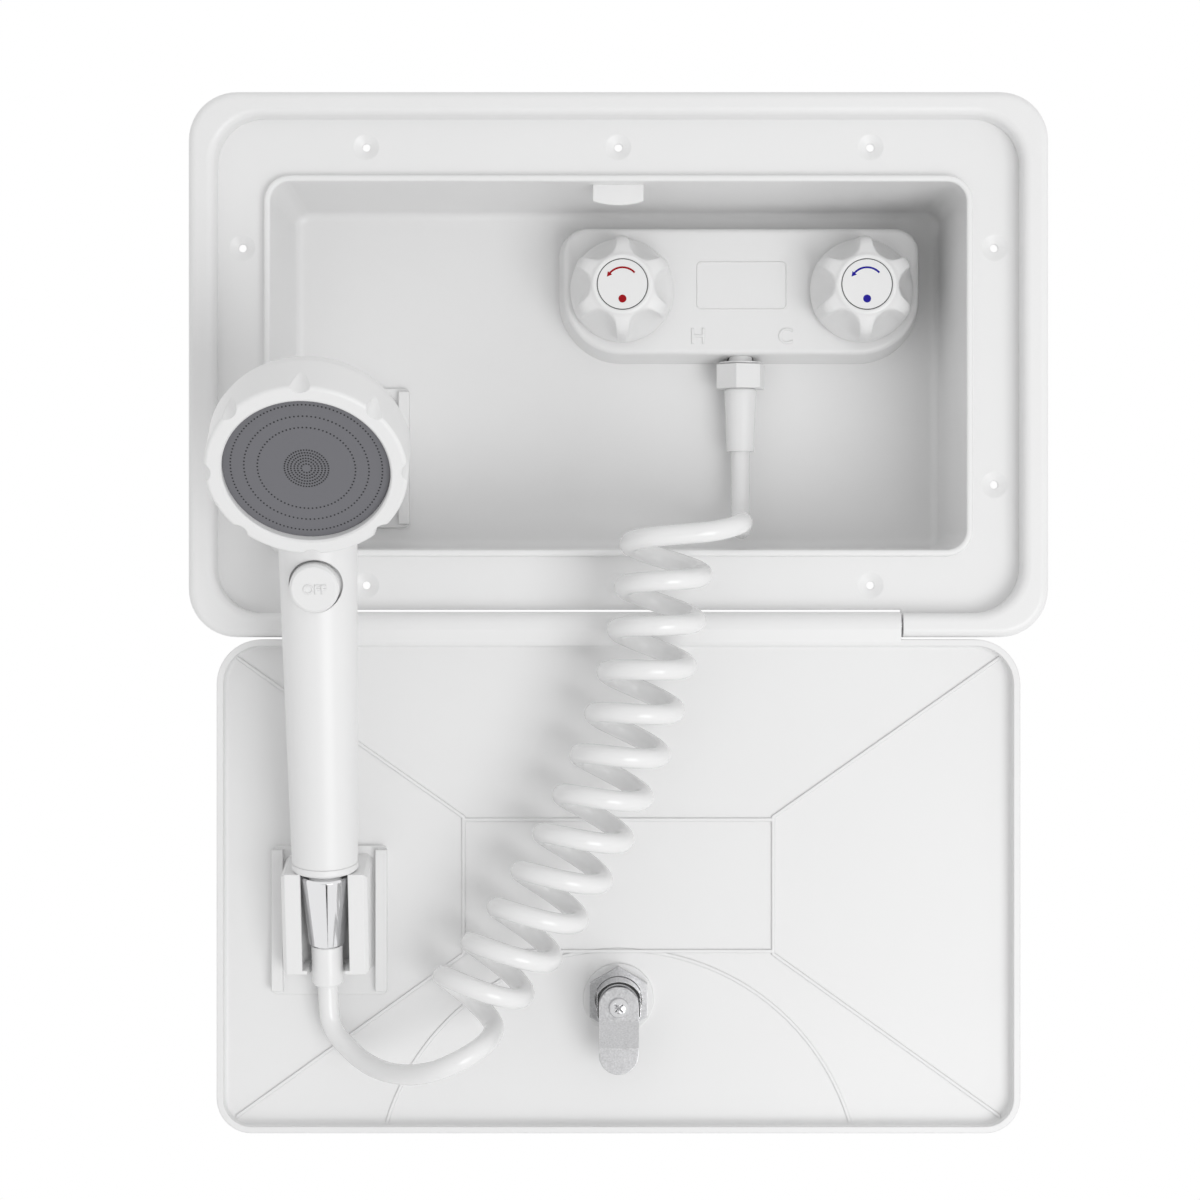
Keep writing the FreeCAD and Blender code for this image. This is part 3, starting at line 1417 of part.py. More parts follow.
def make_hose():
    """The hose in three stretches: valve to coil, the coil, and coil to handset."""
    coil = coil_path()
    last = value("coil_turns")
    lead = 2 * value("hose_round")
    first_point, first_heading = coil_point(0), coil_heading(0)
    last_point, last_heading = coil_point(last), coil_heading(last)
    foot = value("valve_up - outlet_drop - outlet_nut_tall - outlet_sleeve_long")
    outlet = Vector(value("valve_across"), value("tub_deep - duct_depth"), foot)
    meet = first_point - first_heading * lead
    drop = [outlet, outlet - Vector(0, 0, 18.8)] + [Vector(*corner) for corner in DROP_ROUTE]
    drop += [meet - first_heading * 9, meet]
    hose("hose_drop", rounded_path(drop, "drop"))
    hose("hose_coil", coil)
    sleeve_end = value("cone_drop + cone_long + low_sleeve_long")
    lean = math.radians(value("lean"))
    axis = Vector(0, -math.sin(lean), math.cos(lean))
    grip = Vector(-value("holder_across"), -value(HANDSET_OUT), -value(HANDSET_DOWN))
    end = grip - axis * sleeve_end
    leave = last_point + last_heading * lead
    tail = [leave, leave + last_heading * 9] + [Vector(*corner) for corner in TAIL_ROUTE]
    hose("hose_tail", rounded_path(tail + [end - axis * 13, end], "tail"))
    spine = coil[1:-1]
    gaps = []
    for index, edge in enumerate(spine):
        for other in spine[index + 6:]:
            gaps.append(edge.distToShape(other)[0] - 2 * value("hose_round"))
    print("smallest gap between coil turns", round(min(gaps), 2))


make_housing()
make_hinge_rod()
make_door()
make_lock()
make_holder("door_holder", ("-holder_across", "-(hinge_front + %s)" % DOOR_FLOOR, "-" + HOLDER_DOWN))
make_holder("stow_holder", ("-stow_across", "tub_deep", "-stow_drop"))
make_grip()
make_spray_head()
make_button()
make_handset_foot()
make_escutcheon()
make_manifold()
make_tap("hot", "-knob_spacing / 2")
make_tap("cold", "knob_spacing / 2")
make_back_nuts()
make_outlet()
make_hose()
doc.recompute()

for thing in doc.Objects:
    if "Invalid" in thing.State or "Error" in thing.State:
        raise RuntimeError("%s is %s" % (thing.Name, thing.State))
for label, piece in pieces.items():
    shape = piece.Shape
    if shape.isNull() or not shape.isValid() or len(shape.Solids) != 1:
        raise RuntimeError("%s is not one sound solid" % label)
    shape.exportStep("parts/%s.step" % label)
print(len(pieces), "sub-parts")
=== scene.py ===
import json
import math

import bmesh
import bpy
from mathutils import Matrix, Vector


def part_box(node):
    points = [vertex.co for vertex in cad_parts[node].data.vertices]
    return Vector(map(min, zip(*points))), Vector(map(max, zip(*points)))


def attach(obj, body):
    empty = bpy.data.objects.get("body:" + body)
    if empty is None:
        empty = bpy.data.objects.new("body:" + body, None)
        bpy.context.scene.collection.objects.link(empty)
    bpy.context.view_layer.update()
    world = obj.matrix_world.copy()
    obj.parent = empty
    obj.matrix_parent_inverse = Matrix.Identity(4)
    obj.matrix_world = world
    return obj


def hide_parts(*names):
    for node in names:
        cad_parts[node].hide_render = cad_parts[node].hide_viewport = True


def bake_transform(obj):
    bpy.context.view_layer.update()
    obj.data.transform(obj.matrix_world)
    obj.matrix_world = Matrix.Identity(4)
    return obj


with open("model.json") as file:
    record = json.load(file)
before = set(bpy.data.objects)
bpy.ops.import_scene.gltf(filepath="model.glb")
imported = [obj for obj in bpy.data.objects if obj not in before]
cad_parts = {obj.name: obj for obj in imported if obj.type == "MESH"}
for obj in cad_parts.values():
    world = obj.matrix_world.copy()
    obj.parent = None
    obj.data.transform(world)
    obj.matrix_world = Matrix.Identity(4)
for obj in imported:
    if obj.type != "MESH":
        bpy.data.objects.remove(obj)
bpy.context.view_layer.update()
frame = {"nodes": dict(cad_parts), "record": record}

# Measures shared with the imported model, in metres, or in millimetres where no MM follows

MM = 0.001
LEAN = math.radians(13)
HEAD_TILT = math.radians(24.3)
GRIP_FOOT = Vector((-116.4, -27.9, -201.2)) * MM
GRIP_UP = Vector((0, -math.sin(LEAN), math.cos(LEAN)))
GRIP_OUT = Vector((0, -math.cos(LEAN), -math.sin(LEAN)))
HEAD_UP, HEAD_FORWARD = 166.4 * MM, 38.2 * MM
HEAD_CENTRE = GRIP_FOOT + GRIP_UP * HEAD_UP + GRIP_OUT * HEAD_FORWARD
HEAD_TURN = Matrix.Rotation(LEAN + math.pi / 2 + HEAD_TILT, 4, "X")
COVER_FRONT = 54.5
KNOB_FOOT = COVER_FRONT - 1.0
KNOBS = {
    "hot": Vector((1.9, KNOB_FOOT, 36.5)) * MM,
    "cold": Vector((103.5, KNOB_FOOT, 36.5)) * MM,
}
HOSE_WIDE = 8 * MM

# Camera and light

CAMERA_PLACE = (-0.00743, -1.159, -0.09473)
CAMERA_LENS = 85.57
CAMERA_SENSOR = 36


def add_camera():
    """The photograph's view: straight at the wall, from just over a metre away."""
    bpy.ops.object.camera_add(location=CAMERA_PLACE, rotation=(math.pi / 2, 0, 0))
    camera = bpy.context.object
    camera.data.sensor_width = CAMERA_SENSOR
    camera.data.lens = CAMERA_LENS
    bpy.context.scene.camera = camera


def add_softbox(place, target, size, power):
    """A square area light that faces its target."""
    turn = (Vector(target) - Vector(place)).to_track_quat("-Z", "Y").to_euler()
    bpy.ops.object.light_add(type="AREA", location=place, rotation=turn)
    light = bpy.context.object
    light.name = "softbox"
    light.data.shape = "RECTANGLE"
    light.data.size = light.data.size_y = size
    light.data.energy = power


# Materials


class Wire:
    """A value socket that can be used in Python sums. Each sum adds its Math node."""

    def __init__(self, paint, socket):
        self.paint = paint
        self.socket = socket

    def _math(self, operation, other):
        return self.paint.node("ShaderNodeMath", {"operation": operation}, self, other)

    def __add__(self, other):
        return self._math("ADD", other)

    def __mul__(self, other):
        return self._math("MULTIPLY", other)


class Paint:
    """One material: a Principled surface and the nodes that feed it."""

    def __init__(self, name, colour, roughness, metallic=0.0, **sockets):
        self.material = bpy.data.materials.new(name)
        self.material.use_nodes = True
        self.tree = self.material.node_tree
        self.surface = self.tree.nodes["Principled BSDF"]
        self.surface.inputs["Base Color"].default_value = (*colour, 1)
        self.surface.inputs["Roughness"].default_value = roughness
        self.surface.inputs["Metallic"].default_value = metallic
        for socket, number in sockets.items():
            self.surface.inputs[socket.replace("_", " ")].default_value = number
        self.material.diffuse_color = (*colour, 1)

    def node(self, kind, settings=None, *values, out=0, **named):
        """A node of one type, its settings first, then the values or links of its sockets."""
        node = self.tree.nodes.new(kind)
        for setting, choice in (settings or {}).items():
            setattr(node, setting, choice)
        pairs = list(enumerate(values)) + list(named.items())
        for key, given in pairs:
            socket = node.inputs[key if isinstance(key, int) else key.replace("_", " ")]
            if isinstance(given, Wire):
                self.tree.links.new(given.socket, socket)
            elif given is not None:
                socket.default_value = given
        return Wire(self, node.outputs[out])

    def place(self):
        """The piece's own coordinates."""
        return self.node("ShaderNodeTexCoord", out="Object")

    def noise(self, vector, scale, detail=2.0):
        """A noise pattern of a scale per metre, from 0 to 1."""
        sockets = {"Vector": vector, "Scale": scale, "Detail": detail}
        return self.node("ShaderNodeTexNoise", out="Fac", **sockets)

    def mix(self, factor, first, second):
        """A colour between two colours."""
        node = self.tree.nodes.new("ShaderNodeMix")
        node.data_type = "RGBA"
        sockets = (node.inputs["Factor"], node.inputs[6], node.inputs[7])
        for socket, given in zip(sockets, (factor, first, second)):
            if isinstance(given, Wire):
                self.tree.links.new(given.socket, socket)
            else:
                socket.default_value = (*given, 1) if isinstance(given, tuple) else given
        return Wire(self, node.outputs[2])

    def feed(self, socket, wire):
        """Links a wire to one of the surface's own sockets."""
        self.tree.links.new(wire.socket, self.surface.inputs[socket])

    def bump(self, height, distance, strength=1.0, under=None):
        """Relief from a height in real size."""
        wire = self.node("ShaderNodeBump", {}, Strength=strength, Distance=distance, Height=height)
        if under:
            self.tree.links.new(under.socket, wire.socket.node.inputs["Normal"])
        return wire

    def soft_edge(self, radius):
        """Normals that round the piece's sharp edges by a radius."""
        return self.node("ShaderNodeBevel", {"samples": 6}, Radius=radius)


def moulded_plastic(name, colour, roughness, edge, grain=0.0):
    """Moulded plastic: faint tone drift, slightly uneven gloss and softly rounded edges."""
    paint = Paint(name, colour, roughness)
    here = paint.place()
    drift = paint.noise(here, 9.0, 3.0)
    darker = tuple(channel * 0.965 for channel in colour)
    paint.feed("Base Color", paint.mix(drift, darker, colour))
    sheen = paint.noise(here, 38.0, 2.0)
    paint.feed("Roughness", sheen * 0.1 + (roughness - 0.05))
    normal = paint.soft_edge(edge)
    if grain:
        fine = paint.noise(here, 900.0, 2.0)
        normal = paint.bump(fine, grain, 0.25, under=normal)
    paint.feed("Normal", normal)
    return paint.material


def grained_metal(name, colour, roughness, edge=0.0004):
    """Cast or plated metal with a fine sandy grain."""
    paint = Paint(name, colour, roughness, 1.0)
    grain = paint.noise(paint.place(), 1500.0, 2.0)
    tone = tuple(channel * 0.66 for channel in colour)
    bright = tuple(min(1.0, channel * 1.16) for channel in colour)
    paint.feed("Base Color", paint.mix(grain, tone, bright))
    paint.feed("Roughness", grain * 0.2 + (roughness - 0.1))
    paint.feed("Normal", paint.bump(grain, 0.00003, 0.5, under=paint.soft_edge(edge)))
    return paint.material


def polished_metal(name, colour, roughness, edge=0.0003):
    """Bright plate with a very faint haze."""
    paint = Paint(name, colour, roughness, 1.0)
    haze = paint.noise(paint.place(), 160.0, 2.0)
    paint.feed("Roughness", haze * 0.06 + roughness)
    paint.feed("Normal", paint.soft_edge(edge))
    return paint.material


def black_rubber(name):
    """Black rubber, its tone broken by a little dust."""
    paint = Paint(name, (0.02, 0.02, 0.02), 0.75)
    dust = paint.noise(paint.place(), 300.0, 2.0)
    paint.feed("Base Color", paint.mix(dust, (0.014, 0.014, 0.014), (0.035, 0.035, 0.035)))
    paint.feed("Normal", paint.bump(dust, 0.0001, 0.3))
    return paint.material


def printing_ink(name, colour):
    """Flat ink that mirrors little of the white room."""
    return Paint(name, colour, 0.6, Specular_IOR_Level=0.1).material


# World, floor and dark cards

FLOOR = -1.9
SKY_STRENGTH = 0.73


def switch_by_ray(tree, kinds, plain, seen):
    """The seen shader for the named kinds of ray, and the plain one for all others."""
    path = tree.nodes.new("ShaderNodeLightPath")
    either = path.outputs[kinds[0]]
    for kind in kinds[1:]:
        most = tree.nodes.new("ShaderNodeMath")
        most.operation = "MAXIMUM"
        tree.links.new(either, most.inputs[0])
        tree.links.new(path.outputs[kind], most.inputs[1])
        either = most.outputs[0]
    mix = tree.nodes.new("ShaderNodeMixShader")
    tree.links.new(either, mix.inputs[0])
    tree.links.new(plain.outputs[0], mix.inputs[1])
    tree.links.new(seen.outputs[0], mix.inputs[2])
    return mix.outputs[0]


def white_background(tree, strength):
    """A white background shader."""
    node = tree.nodes.new("ShaderNodeBackground")
    node.inputs["Color"].default_value = (1, 1, 1, 1)
    node.inputs["Strength"].default_value = strength
    return node


def set_world():
    """White behind the object and in its reflections, a soft grey sky for its light."""
    world = bpy.data.worlds.new("studio")
    world.use_nodes = True
    bpy.context.scene.world = world
    tree = world.node_tree
    tree.nodes.clear()
    sky = white_background(tree, SKY_STRENGTH)
    backdrop = white_background(tree, 1.0)
    kinds = ("Is Camera Ray", "Is Glossy Ray", "Is Transmission Ray")
    light = switch_by_ray(tree, kinds, sky, backdrop)
    output = tree.nodes.new("ShaderNodeOutputWorld")
    tree.links.new(light, output.inputs["Surface"])


def repaint_by_ray(paint, kinds, seen):
    """Shows another shader than the paint's own to the named kinds of ray."""
    surface = switch_by_ray(paint.tree, kinds, paint.surface, seen)
    paint.tree.links.new(surface, paint.tree.nodes["Material Output"].inputs["Surface"])


def add_floor():
    """A pale floor far below, pure white to the camera and in reflections."""
    select_only()
    bpy.ops.mesh.primitive_plane_add(size=8, location=(0, 0, FLOOR))
    floor = take("floor")
    bpy.ops.object.transform_apply(location=True, rotation=False, scale=False)
    paint = Paint("floor", (0.85, 0.85, 0.85), 0.8)
    glow = paint.tree.nodes.new("ShaderNodeEmission")
    repaint_by_ray(paint, ("Is Camera Ray", "Is Glossy Ray"), glow)
    floor.data.materials.append(paint.material)


def add_dark_card(name, corners, grey):
    """A matt card that only the metal sees: it gives bright plate something dark to show."""
    shape = bpy.data.meshes.new(name)
    shape.from_pydata(corners, [], [range(len(corners))])
    card = bpy.data.objects.new(name, shape)
    bpy.context.collection.objects.link(card)
    paint = Paint(name + "_paint", (grey, grey, grey), 0.9)
    clear = paint.tree.nodes.new("ShaderNodeBsdfTransparent")
    repaint_by_ray(paint, ("Is Camera Ray",), clear)
    card.data.materials.append(paint.material)


def add_dark_cards():
    """One card lies below the handset, the other stands behind the camera."""
    below = -0.615
    corners = [(-0.16, -0.62, below), (0.12, -0.62, below), (-0.02, -0.41, below)]
    add_dark_card("pointed_card", corners, 0.01)
    left, right, low, high, behind = -0.5, 0.35, -0.6, -0.1, -1.75
    sides = ((left, low), (right, low), (right, high), (left, high))
    add_dark_card("grey_card", [(across, behind, up) for across, up in sides], 0.05)


# Hose, its routes in millimetres

COIL_ROUND = 15.3
COIL_PITCH = 17.7
COIL_TURNS = 11.75
COIL_STEPS = 16
COIL_LEAD = 8.0
COIL_FRONT = 36.0
COIL_START = (19.4, -69.6)
COIL_LEAN, COIL_LEAN_RATE = math.radians(4.2), math.radians(3.3)
CURL_LEAN, CURL_LEAN_RATE = math.radians(5.5), math.radians(2.15)

DROP_ROUTE = [
    (52.7, 62.7, -31.2),
    (52.7, 62.7, -50.0),
    (52.5, 57.5, -59.3),
    (52.3, 48.4, -64.6),
    (51.6, 33.0, -65.3),
    (50.6, 14.0, -65.2),
    (49.8, -6.0, -64.3),
    (49.2, -22.0, -63.6),
    (48.8, -38.6, -64.2),
    (44.2, -46.4, -66.3),
    (36.4, -51.0, -68.1),
]
TAIL_ROUTE = [
    (-51.5, -52.7, -266.7),
    (-56.5, -58.6, -269.6),
    (-64.0, -60.2, -273.6),
    (-73.0, -56.0, -277.6),
    (-83.0, -46.5, -280.2),
    (-92.5, -35.5, -280.6),
    (-101.5, -25.8, -278.2),
    (-109.0, -18.6, -273.0),
    (-114.5, -14.9, -267.2),
    (-116.4, -14.2, -260.6),
    (-116.4, -17.1, -247.97),
]


def coil_point(turn):
    """A point of the coil: a helix on an axis that is a long arc, its discs turning as they go."""
    lean = COIL_LEAN + COIL_LEAN_RATE * turn
    spread = COIL_PITCH / COIL_LEAN_RATE
    across = COIL_START[0] + spread * (math.cos(lean) - math.cos(COIL_LEAN))
    up = COIL_START[1] - spread * (math.sin(lean) - math.sin(COIL_LEAN))
    curl = CURL_LEAN + CURL_LEAN_RATE * turn
    angle = 2 * math.pi * turn
    side = Vector((math.cos(curl), 0, -math.sin(curl))) * -math.sin(angle)
    front = Vector((0, -math.cos(angle), 0))
    return Vector((across, -COIL_FRONT, up)) + (side + front) * COIL_ROUND


def coil_end(turn, way):
    """The straight end of the coil, a little way beyond its first or last point."""
    heading = (coil_point(turn + 0.001) - coil_point(turn - 0.001)).normalized()
    return coil_point(turn) + heading * COIL_LEAD * way


def evaluated_mesh(piece):
    """The mesh of a curve as it stands."""
    bpy.context.view_layer.update()
    graph = bpy.context.evaluated_depsgraph_get()
    return bpy.data.meshes.new_from_object(piece.evaluated_get(graph), depsgraph=graph)


def hose_piece(name, route):
    """A smooth hose along control points, with the line that it follows."""
    curve = bpy.data.curves.new(name, "CURVE")
    curve.dimensions = "3D"
    curve.resolution_u = 4
    spline = curve.splines.new("NURBS")
    spline.points.add(len(route) - 1)
    for point, corner in zip(spline.points, route):
        point.co = (*(Vector(corner) * MM), 1)
    spline.order_u = 3
    spline.use_endpoint_u = True
    line = bpy.data.objects.new(name + "_line", curve)
    bpy.context.collection.objects.link(line)
    path = [vertex.co.copy() for vertex in evaluated_mesh(line).vertices]
    curve.bevel_depth = HOSE_WIDE / 2
    curve.bevel_resolution = 7
    curve.use_fill_caps = True
    mesh = evaluated_mesh(line)
    bpy.data.objects.remove(line)
    piece = bpy.data.objects.new(name, mesh)
    bpy.context.collection.objects.link(piece)
    for polygon in mesh.polygons:
        polygon.use_smooth = True
    return piece, path


def make_hose(material):
    """The whole hose: valve to coil and coil on the box and door, then coil to handset."""
    count = round(COIL_TURNS * COIL_STEPS)
    coil = [coil_point(COIL_TURNS * index / count) for index in range(count + 1)]
    tail = [coil_end(COIL_TURNS, 1)]
    upper, upper_path = hose_piece("coiled_hose", DROP_ROUTE + [coil_end(0, -1)] + coil + tail)
    lower, lower_path = hose_piece("handset_hose", tail + TAIL_ROUTE)
    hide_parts("hose_drop", "hose_coil")
    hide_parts("hose_tail")
    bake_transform(upper)
    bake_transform(lower)
    for piece in (upper, lower):
        piece.data.materials.append(material)


# Modelling helpers


def select_only(piece=None):
    """Leaves one piece selected and active, or none selected."""
    bpy.ops.object.select_all(action="DESELECT")
    if piece:
        bpy.context.view_layer.objects.active = piece
        piece.select_set(True)


def take(name):
    """The piece that was just added, under its own name."""
    piece = bpy.context.object
    piece.name = name
    piece.data.name = name
    return piece


def edit_mode():
    bpy.ops.object.mode_set(mode="EDIT")
    bpy.ops.mesh.select_all(action="SELECT")


def object_mode():
    bpy.ops.object.mode_set(mode="OBJECT")


def settle(piece, world, smooth_angle=35):
    """Puts a finished piece in its place, with its place in its mesh and its faces outwards."""
    piece.data.transform(world)
    piece.matrix_world = Matrix.Identity(4)
    select_only(piece)
    edit_mode()
    bpy.ops.mesh.remove_doubles(threshold=0.000005)
    bpy.ops.mesh.normals_make_consistent(inside=False)
    object_mode()
    bpy.ops.object.shade_smooth_by_angle(angle=math.radians(smooth_angle))
    piece.select_set(False)
    return piece


def dress(piece, body, material):
    """Gives a piece its body and its finish."""
    piece.data.materials.clear()
    piece.data.materials.append(material)
    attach(piece, body)


def rise(amount):
    """Extrudes the selected faces upwards."""
    bpy.ops.mesh.extrude_region_move(TRANSFORM_OT_translate={"value": (0, 0, amount)})


def thicken(amount):
    """Turns the active flat piece into a plate."""
    edit_mode()
    rise(amount)
    object_mode()


def add_disc(radius, sides, place):
    """A flat disc whose own origin is the frame's."""
    select_only()
    bpy.ops.mesh.primitive_circle_add(
        vertices=sides, radius=radius, fill_type="NGON", location=place
    )
    bpy.ops.object.transform_apply(location=True, rotation=False, scale=False)


def lathe_rings(radii_and_heights, sides):
    """One closed turned piece, from a disc that is extruded and widened ring by ring."""
    radius, height = radii_and_heights[0]
    add_disc(radius, sides, (0, 0, height))
    edit_mode()
    for next_radius, next_height in radii_and_heights[1:]:
        rise(next_height - height)
        factor = next_radius / radius
        bpy.ops.transform.resize(value=(factor, factor, 1))
        radius, height = next_radius, next_height
    object_mode()


def shape_piece(name, shape):
    """A piece from a bmesh, selected alone."""
    mesh = bpy.data.meshes.new(name)
    shape.to_mesh(mesh)
    shape.free()
    piece = bpy.data.objects.new(name, mesh)
    bpy.context.collection.objects.link(piece)
    select_only(piece)
    return piece


FRONT = Matrix.Rotation(math.pi / 2, 4, "X")


def facing_out(place):
    """Puts a piece that was made lying on its back upright, its top towards the viewer."""
    return Matrix.Translation(place) @ FRONT


# Knobs

KNOB_TALL = 28 * MM
SIDE_ROUND = 20.4 * MM
BORE_ROUND = 4.2 * MM
BORE_DEEP = 20 * MM
CAP_SEAT = 10.65 * MM
CAP_SEAT_UP = 26.6 * MM
CREST_DROP = 1.6
FINE_FROM = 20.9

# Height above the foot, and there the ridges' reach, the valleys' reach and a valley's half angle.
KNOB_SHAPE = [
    (0.0, 20.6, 20.6, 29.0),
    (1.4, 21.3, 21.3, 29.0),
    (2.6, 22.0, 21.9, 28.5),
    (3.8, 22.2, 21.9, 28.0),
    (5.5, 22.2, 21.3, 27.0),
    (8.0, 22.1, 20.0, 26.0),
    (11.0, 21.9, 18.3, 25.0),
    (15.0, 21.7, 16.5, 24.0),
    (18.0, 21.4, 15.4, 23.5),
    (20.5, 20.9, 14.7, 23.0),
    (22.5, 20.1, 14.3, 22.5),
    (24.0, 18.9, 14.0, 22.0),
    (25.2, 17.3, 13.75, 21.0),
    (26.2, 15.3, 13.5, 19.0),
    (26.9, 13.7, 13.3, 14.0),
]


def between(height):
    """The knob's three measures at a height, read between the rows of its shape."""
    for low, high in zip(KNOB_SHAPE, KNOB_SHAPE[1:]):
        if height <= high[0]:
            share = (height - low[0]) / (high[0] - low[0])
            return [first + (second - first) * share for first, second in zip(low[1:], high[1:])]
    return KNOB_SHAPE[-1][1:]


def scoop(ridge, valley, spread, angle):
    """The reach inside one flute: a round scoop that meets the ridges at either side of it."""
    slack = ridge * math.cos(spread) - valley
    if abs(slack) < 0.05:
        return valley / math.cos(angle)
    centre = (ridge ** 2 - valley ** 2) / (2 * slack)
    chord = math.sqrt((centre - valley) ** 2 - (centre * math.sin(angle)) ** 2)
    return centre * math.cos(angle) - math.copysign(chord, centre)


def knob_reach(angle, height):
    """How far the knob's side stands out at an angle and a height: six ridges, six flutes."""
    ridge, valley, spread = between(height)
    from_valley = (math.degrees(angle) - 60) % 60
    from_valley = abs(from_valley if from_valley < 30 else from_valley - 60)
    corner = ridge - CREST_DROP * (1 - valley / ridge)
    if from_valley < spread:
        return scoop(corner, valley, math.radians(spread), math.radians(from_valley)) * MM
    aside = (30 - from_valley) / (30 - spread)
    return (ridge + (corner - ridge) * aside ** 2) * MM


def make_knob(name, body, place, material):
    """A lobed knob, lathed with a plain side whose rings are then drawn to the lobes' reach."""
    coarse = [0.3 + index for index in range(21)]
    steps = coarse + [FINE_FROM + 0.3 * index for index in range(21)]
    rings = [(BORE_ROUND, BORE_DEEP), (BORE_ROUND, 0.0), (19.8 * MM, 0.0)]
    rings += [(SIDE_ROUND, step * MM) for step in steps]
    rings += [
        (12.9 * MM, 27.4 * MM),
        (12.5 * MM, 27.8 * MM),
        (12.0 * MM, KNOB_TALL),
        (11.0 * MM, KNOB_TALL),
        (CAP_SEAT, 27.85 * MM),
        (CAP_SEAT, CAP_SEAT_UP),
        (5.0 * MM, CAP_SEAT_UP),
    ]
    lathe_rings(rings, 360)
    knob = take(name + "_knob_shell")
    for vertex in knob.data.vertices:
        around = math.hypot(vertex.co.x, vertex.co.y)
        if abs(around - SIDE_ROUND) < 0.1 * MM and vertex.co.z > 0.1 * MM:
            angle = math.atan2(vertex.co.y, vertex.co.x)
            reach = knob_reach(angle, vertex.co.z / MM)
            vertex.co.x, vertex.co.y = reach * math.cos(angle), reach * math.sin(angle)
    settle(knob, facing_out(place), 60)
    dress(knob, body, material)
    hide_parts(name + "_knob")


PRINT_THICK = 0.05 * MM
ARROW_ROUND = 6.95 * MM
ARROW_WIDE = 0.8 * MM
ARROW_FIRST, ARROW_LAST, ARROW_TIP = 43, 138, 141
DOT_ROUND = 1.65 * MM
DOT_DOWN = 6.04 * MM
LINE_PROFILE = [(10.6, -0.5), (10.6, 0.03), (10.3, 0.03), (10.3, -0.5)]


def ray(degrees):
    """The direction at an angle from the X axis, in the XY plane."""
    angle = math.radians(degrees)
    return Vector((math.cos(angle), math.sin(angle), 0))


def index_line(name):
    """The printed ring: a profile of (radius, height) in millimetres, turned into a closed ring."""
    sides = 96
    shape = bmesh.new()
    loops = []
    for radius, height in LINE_PROFILE:
        lift = Vector((0, 0, height))
        points = [ray(360 * index / sides) * radius + lift for index in range(sides)]
        loops.append([shape.verts.new(point * MM) for point in points])
    for before, after in zip(loops, loops[1:] + loops[:1]):
        for index in range(sides):
            following = (index + 1) % sides
            shape.faces.new((before[index], before[following], after[following], after[index]))
    return shape_piece(name, shape)


def arrow_arc(name):
    """The arrow's curved band."""
    steps = 28
    shape = bmesh.new()
    rows = []
    for index in range(steps + 1):
        outwards = ray(ARROW_FIRST + (ARROW_LAST - ARROW_FIRST) * index / steps)
        reaches = (ARROW_ROUND - ARROW_WIDE / 2, ARROW_ROUND + ARROW_WIDE / 2)
        rows.append([shape.verts.new(outwards * reach) for reach in reaches])
    for before, after in zip(rows, rows[1:]):
        shape.faces.new((before[0], before[1], after[1], after[0]))
    band = shape_piece(name, shape)
    thicken(PRINT_THICK)
    return band


def arrow_head(name):
    """The arrow's solid tip, at the left end of its arc."""
    aside = ray(ARROW_TIP)
    along = ray(ARROW_TIP + 90)
    middle = aside * ARROW_ROUND
    foot = middle - along * 0.35 * MM
    half = aside * 1.15 * MM
    shape = bmesh.new()
    corners = (middle + along * 1.7 * MM, foot + half, foot - half)
    shape.faces.new([shape.verts.new(corner) for corner in corners])
    head = shape_piece(name, shape)
    thicken(PRINT_THICK)
    return head


def index_dot(name):
    """The round dot below the arrow."""
    add_disc(DOT_ROUND, 48, (0, -DOT_DOWN, 0))
    dot = take(name)
    thicken(PRINT_THICK)
    return dot


def make_index_print(name, body, place, ink, line_ink):
    """The cap's printed ring, curved arrow and dot, as thin raised inlays."""
    top = facing_out(place + Vector((0, -KNOB_TALL, 0)))
    line = settle(index_line(name + "_index_ring"), top)
    dress(line, body, line_ink)
    arc = arrow_arc(name + "_index_arrow")
    head = arrow_head(name + "_index_head")
    dot = index_dot(name + "_index_dot")
    for part in (arc, head, dot):
        settle(part, top)
        dress(part, body, ink)


# Spray face

# Radius of each ring in millimetres, and its number of nozzles.
JET_RINGS = [
    (28.2, 120),
    (23.2, 92),
    (18.2, 75),
    (8.2, 50),
    (7.0, 43),
    (5.8, 36),
    (4.5, 28),
    (3.3, 20),
    (2.0, 12),
]
JET_ROUND = 0.36 * MM
JET_TALL = 0.2 * MM
JET_DEPTH = 3.06


def make_jets(material):
    """Every small nozzle hole of the spray face, as low round near-black buttons in rings: painted
    shade that stands in for the holes.
    """
    select_only()
    bpy.ops.mesh.primitive_cylinder_add(vertices=8, radius=JET_ROUND, depth=JET_TALL)
    jets = take("spray_hole_shades")
    single = bmesh.new()
    single.from_mesh(jets.data)
    whole = bmesh.new()
    for radius, count in JET_RINGS:
        for index in range(count):
            shift = (ray(360 * index / count) * radius - Vector((0, 0, JET_DEPTH))) * MM
            made = {vertex: whole.verts.new(vertex.co + shift) for vertex in single.verts}
            for face in single.faces:
                whole.faces.new([made[vertex] for vertex in face.verts])
    single.free()
    whole.to_mesh(jets.data)
    whole.free()
    settle(jets, Matrix.Translation(HEAD_CENTRE) @ HEAD_TURN)
    dress(jets, "spray_ring", material)


# Lock screw


# Radius and height of each ring of the screw, in millimetres.
SCREW_RINGS = [
    (1.3, -4.0),
    (1.3, 0.0),
    (3.95, 0.0),
    (4.0, 0.5),
    (3.85, 0.95),
    (3.4, 1.4),
    (2.7, 1.8),
    (1.8, 2.08),
    (0.8, 2.2),
]
SCREW_TALL = 2.2 * MM
BLADE = (4.4 * MM, 0.75 * MM, 2.6 * MM, 1)


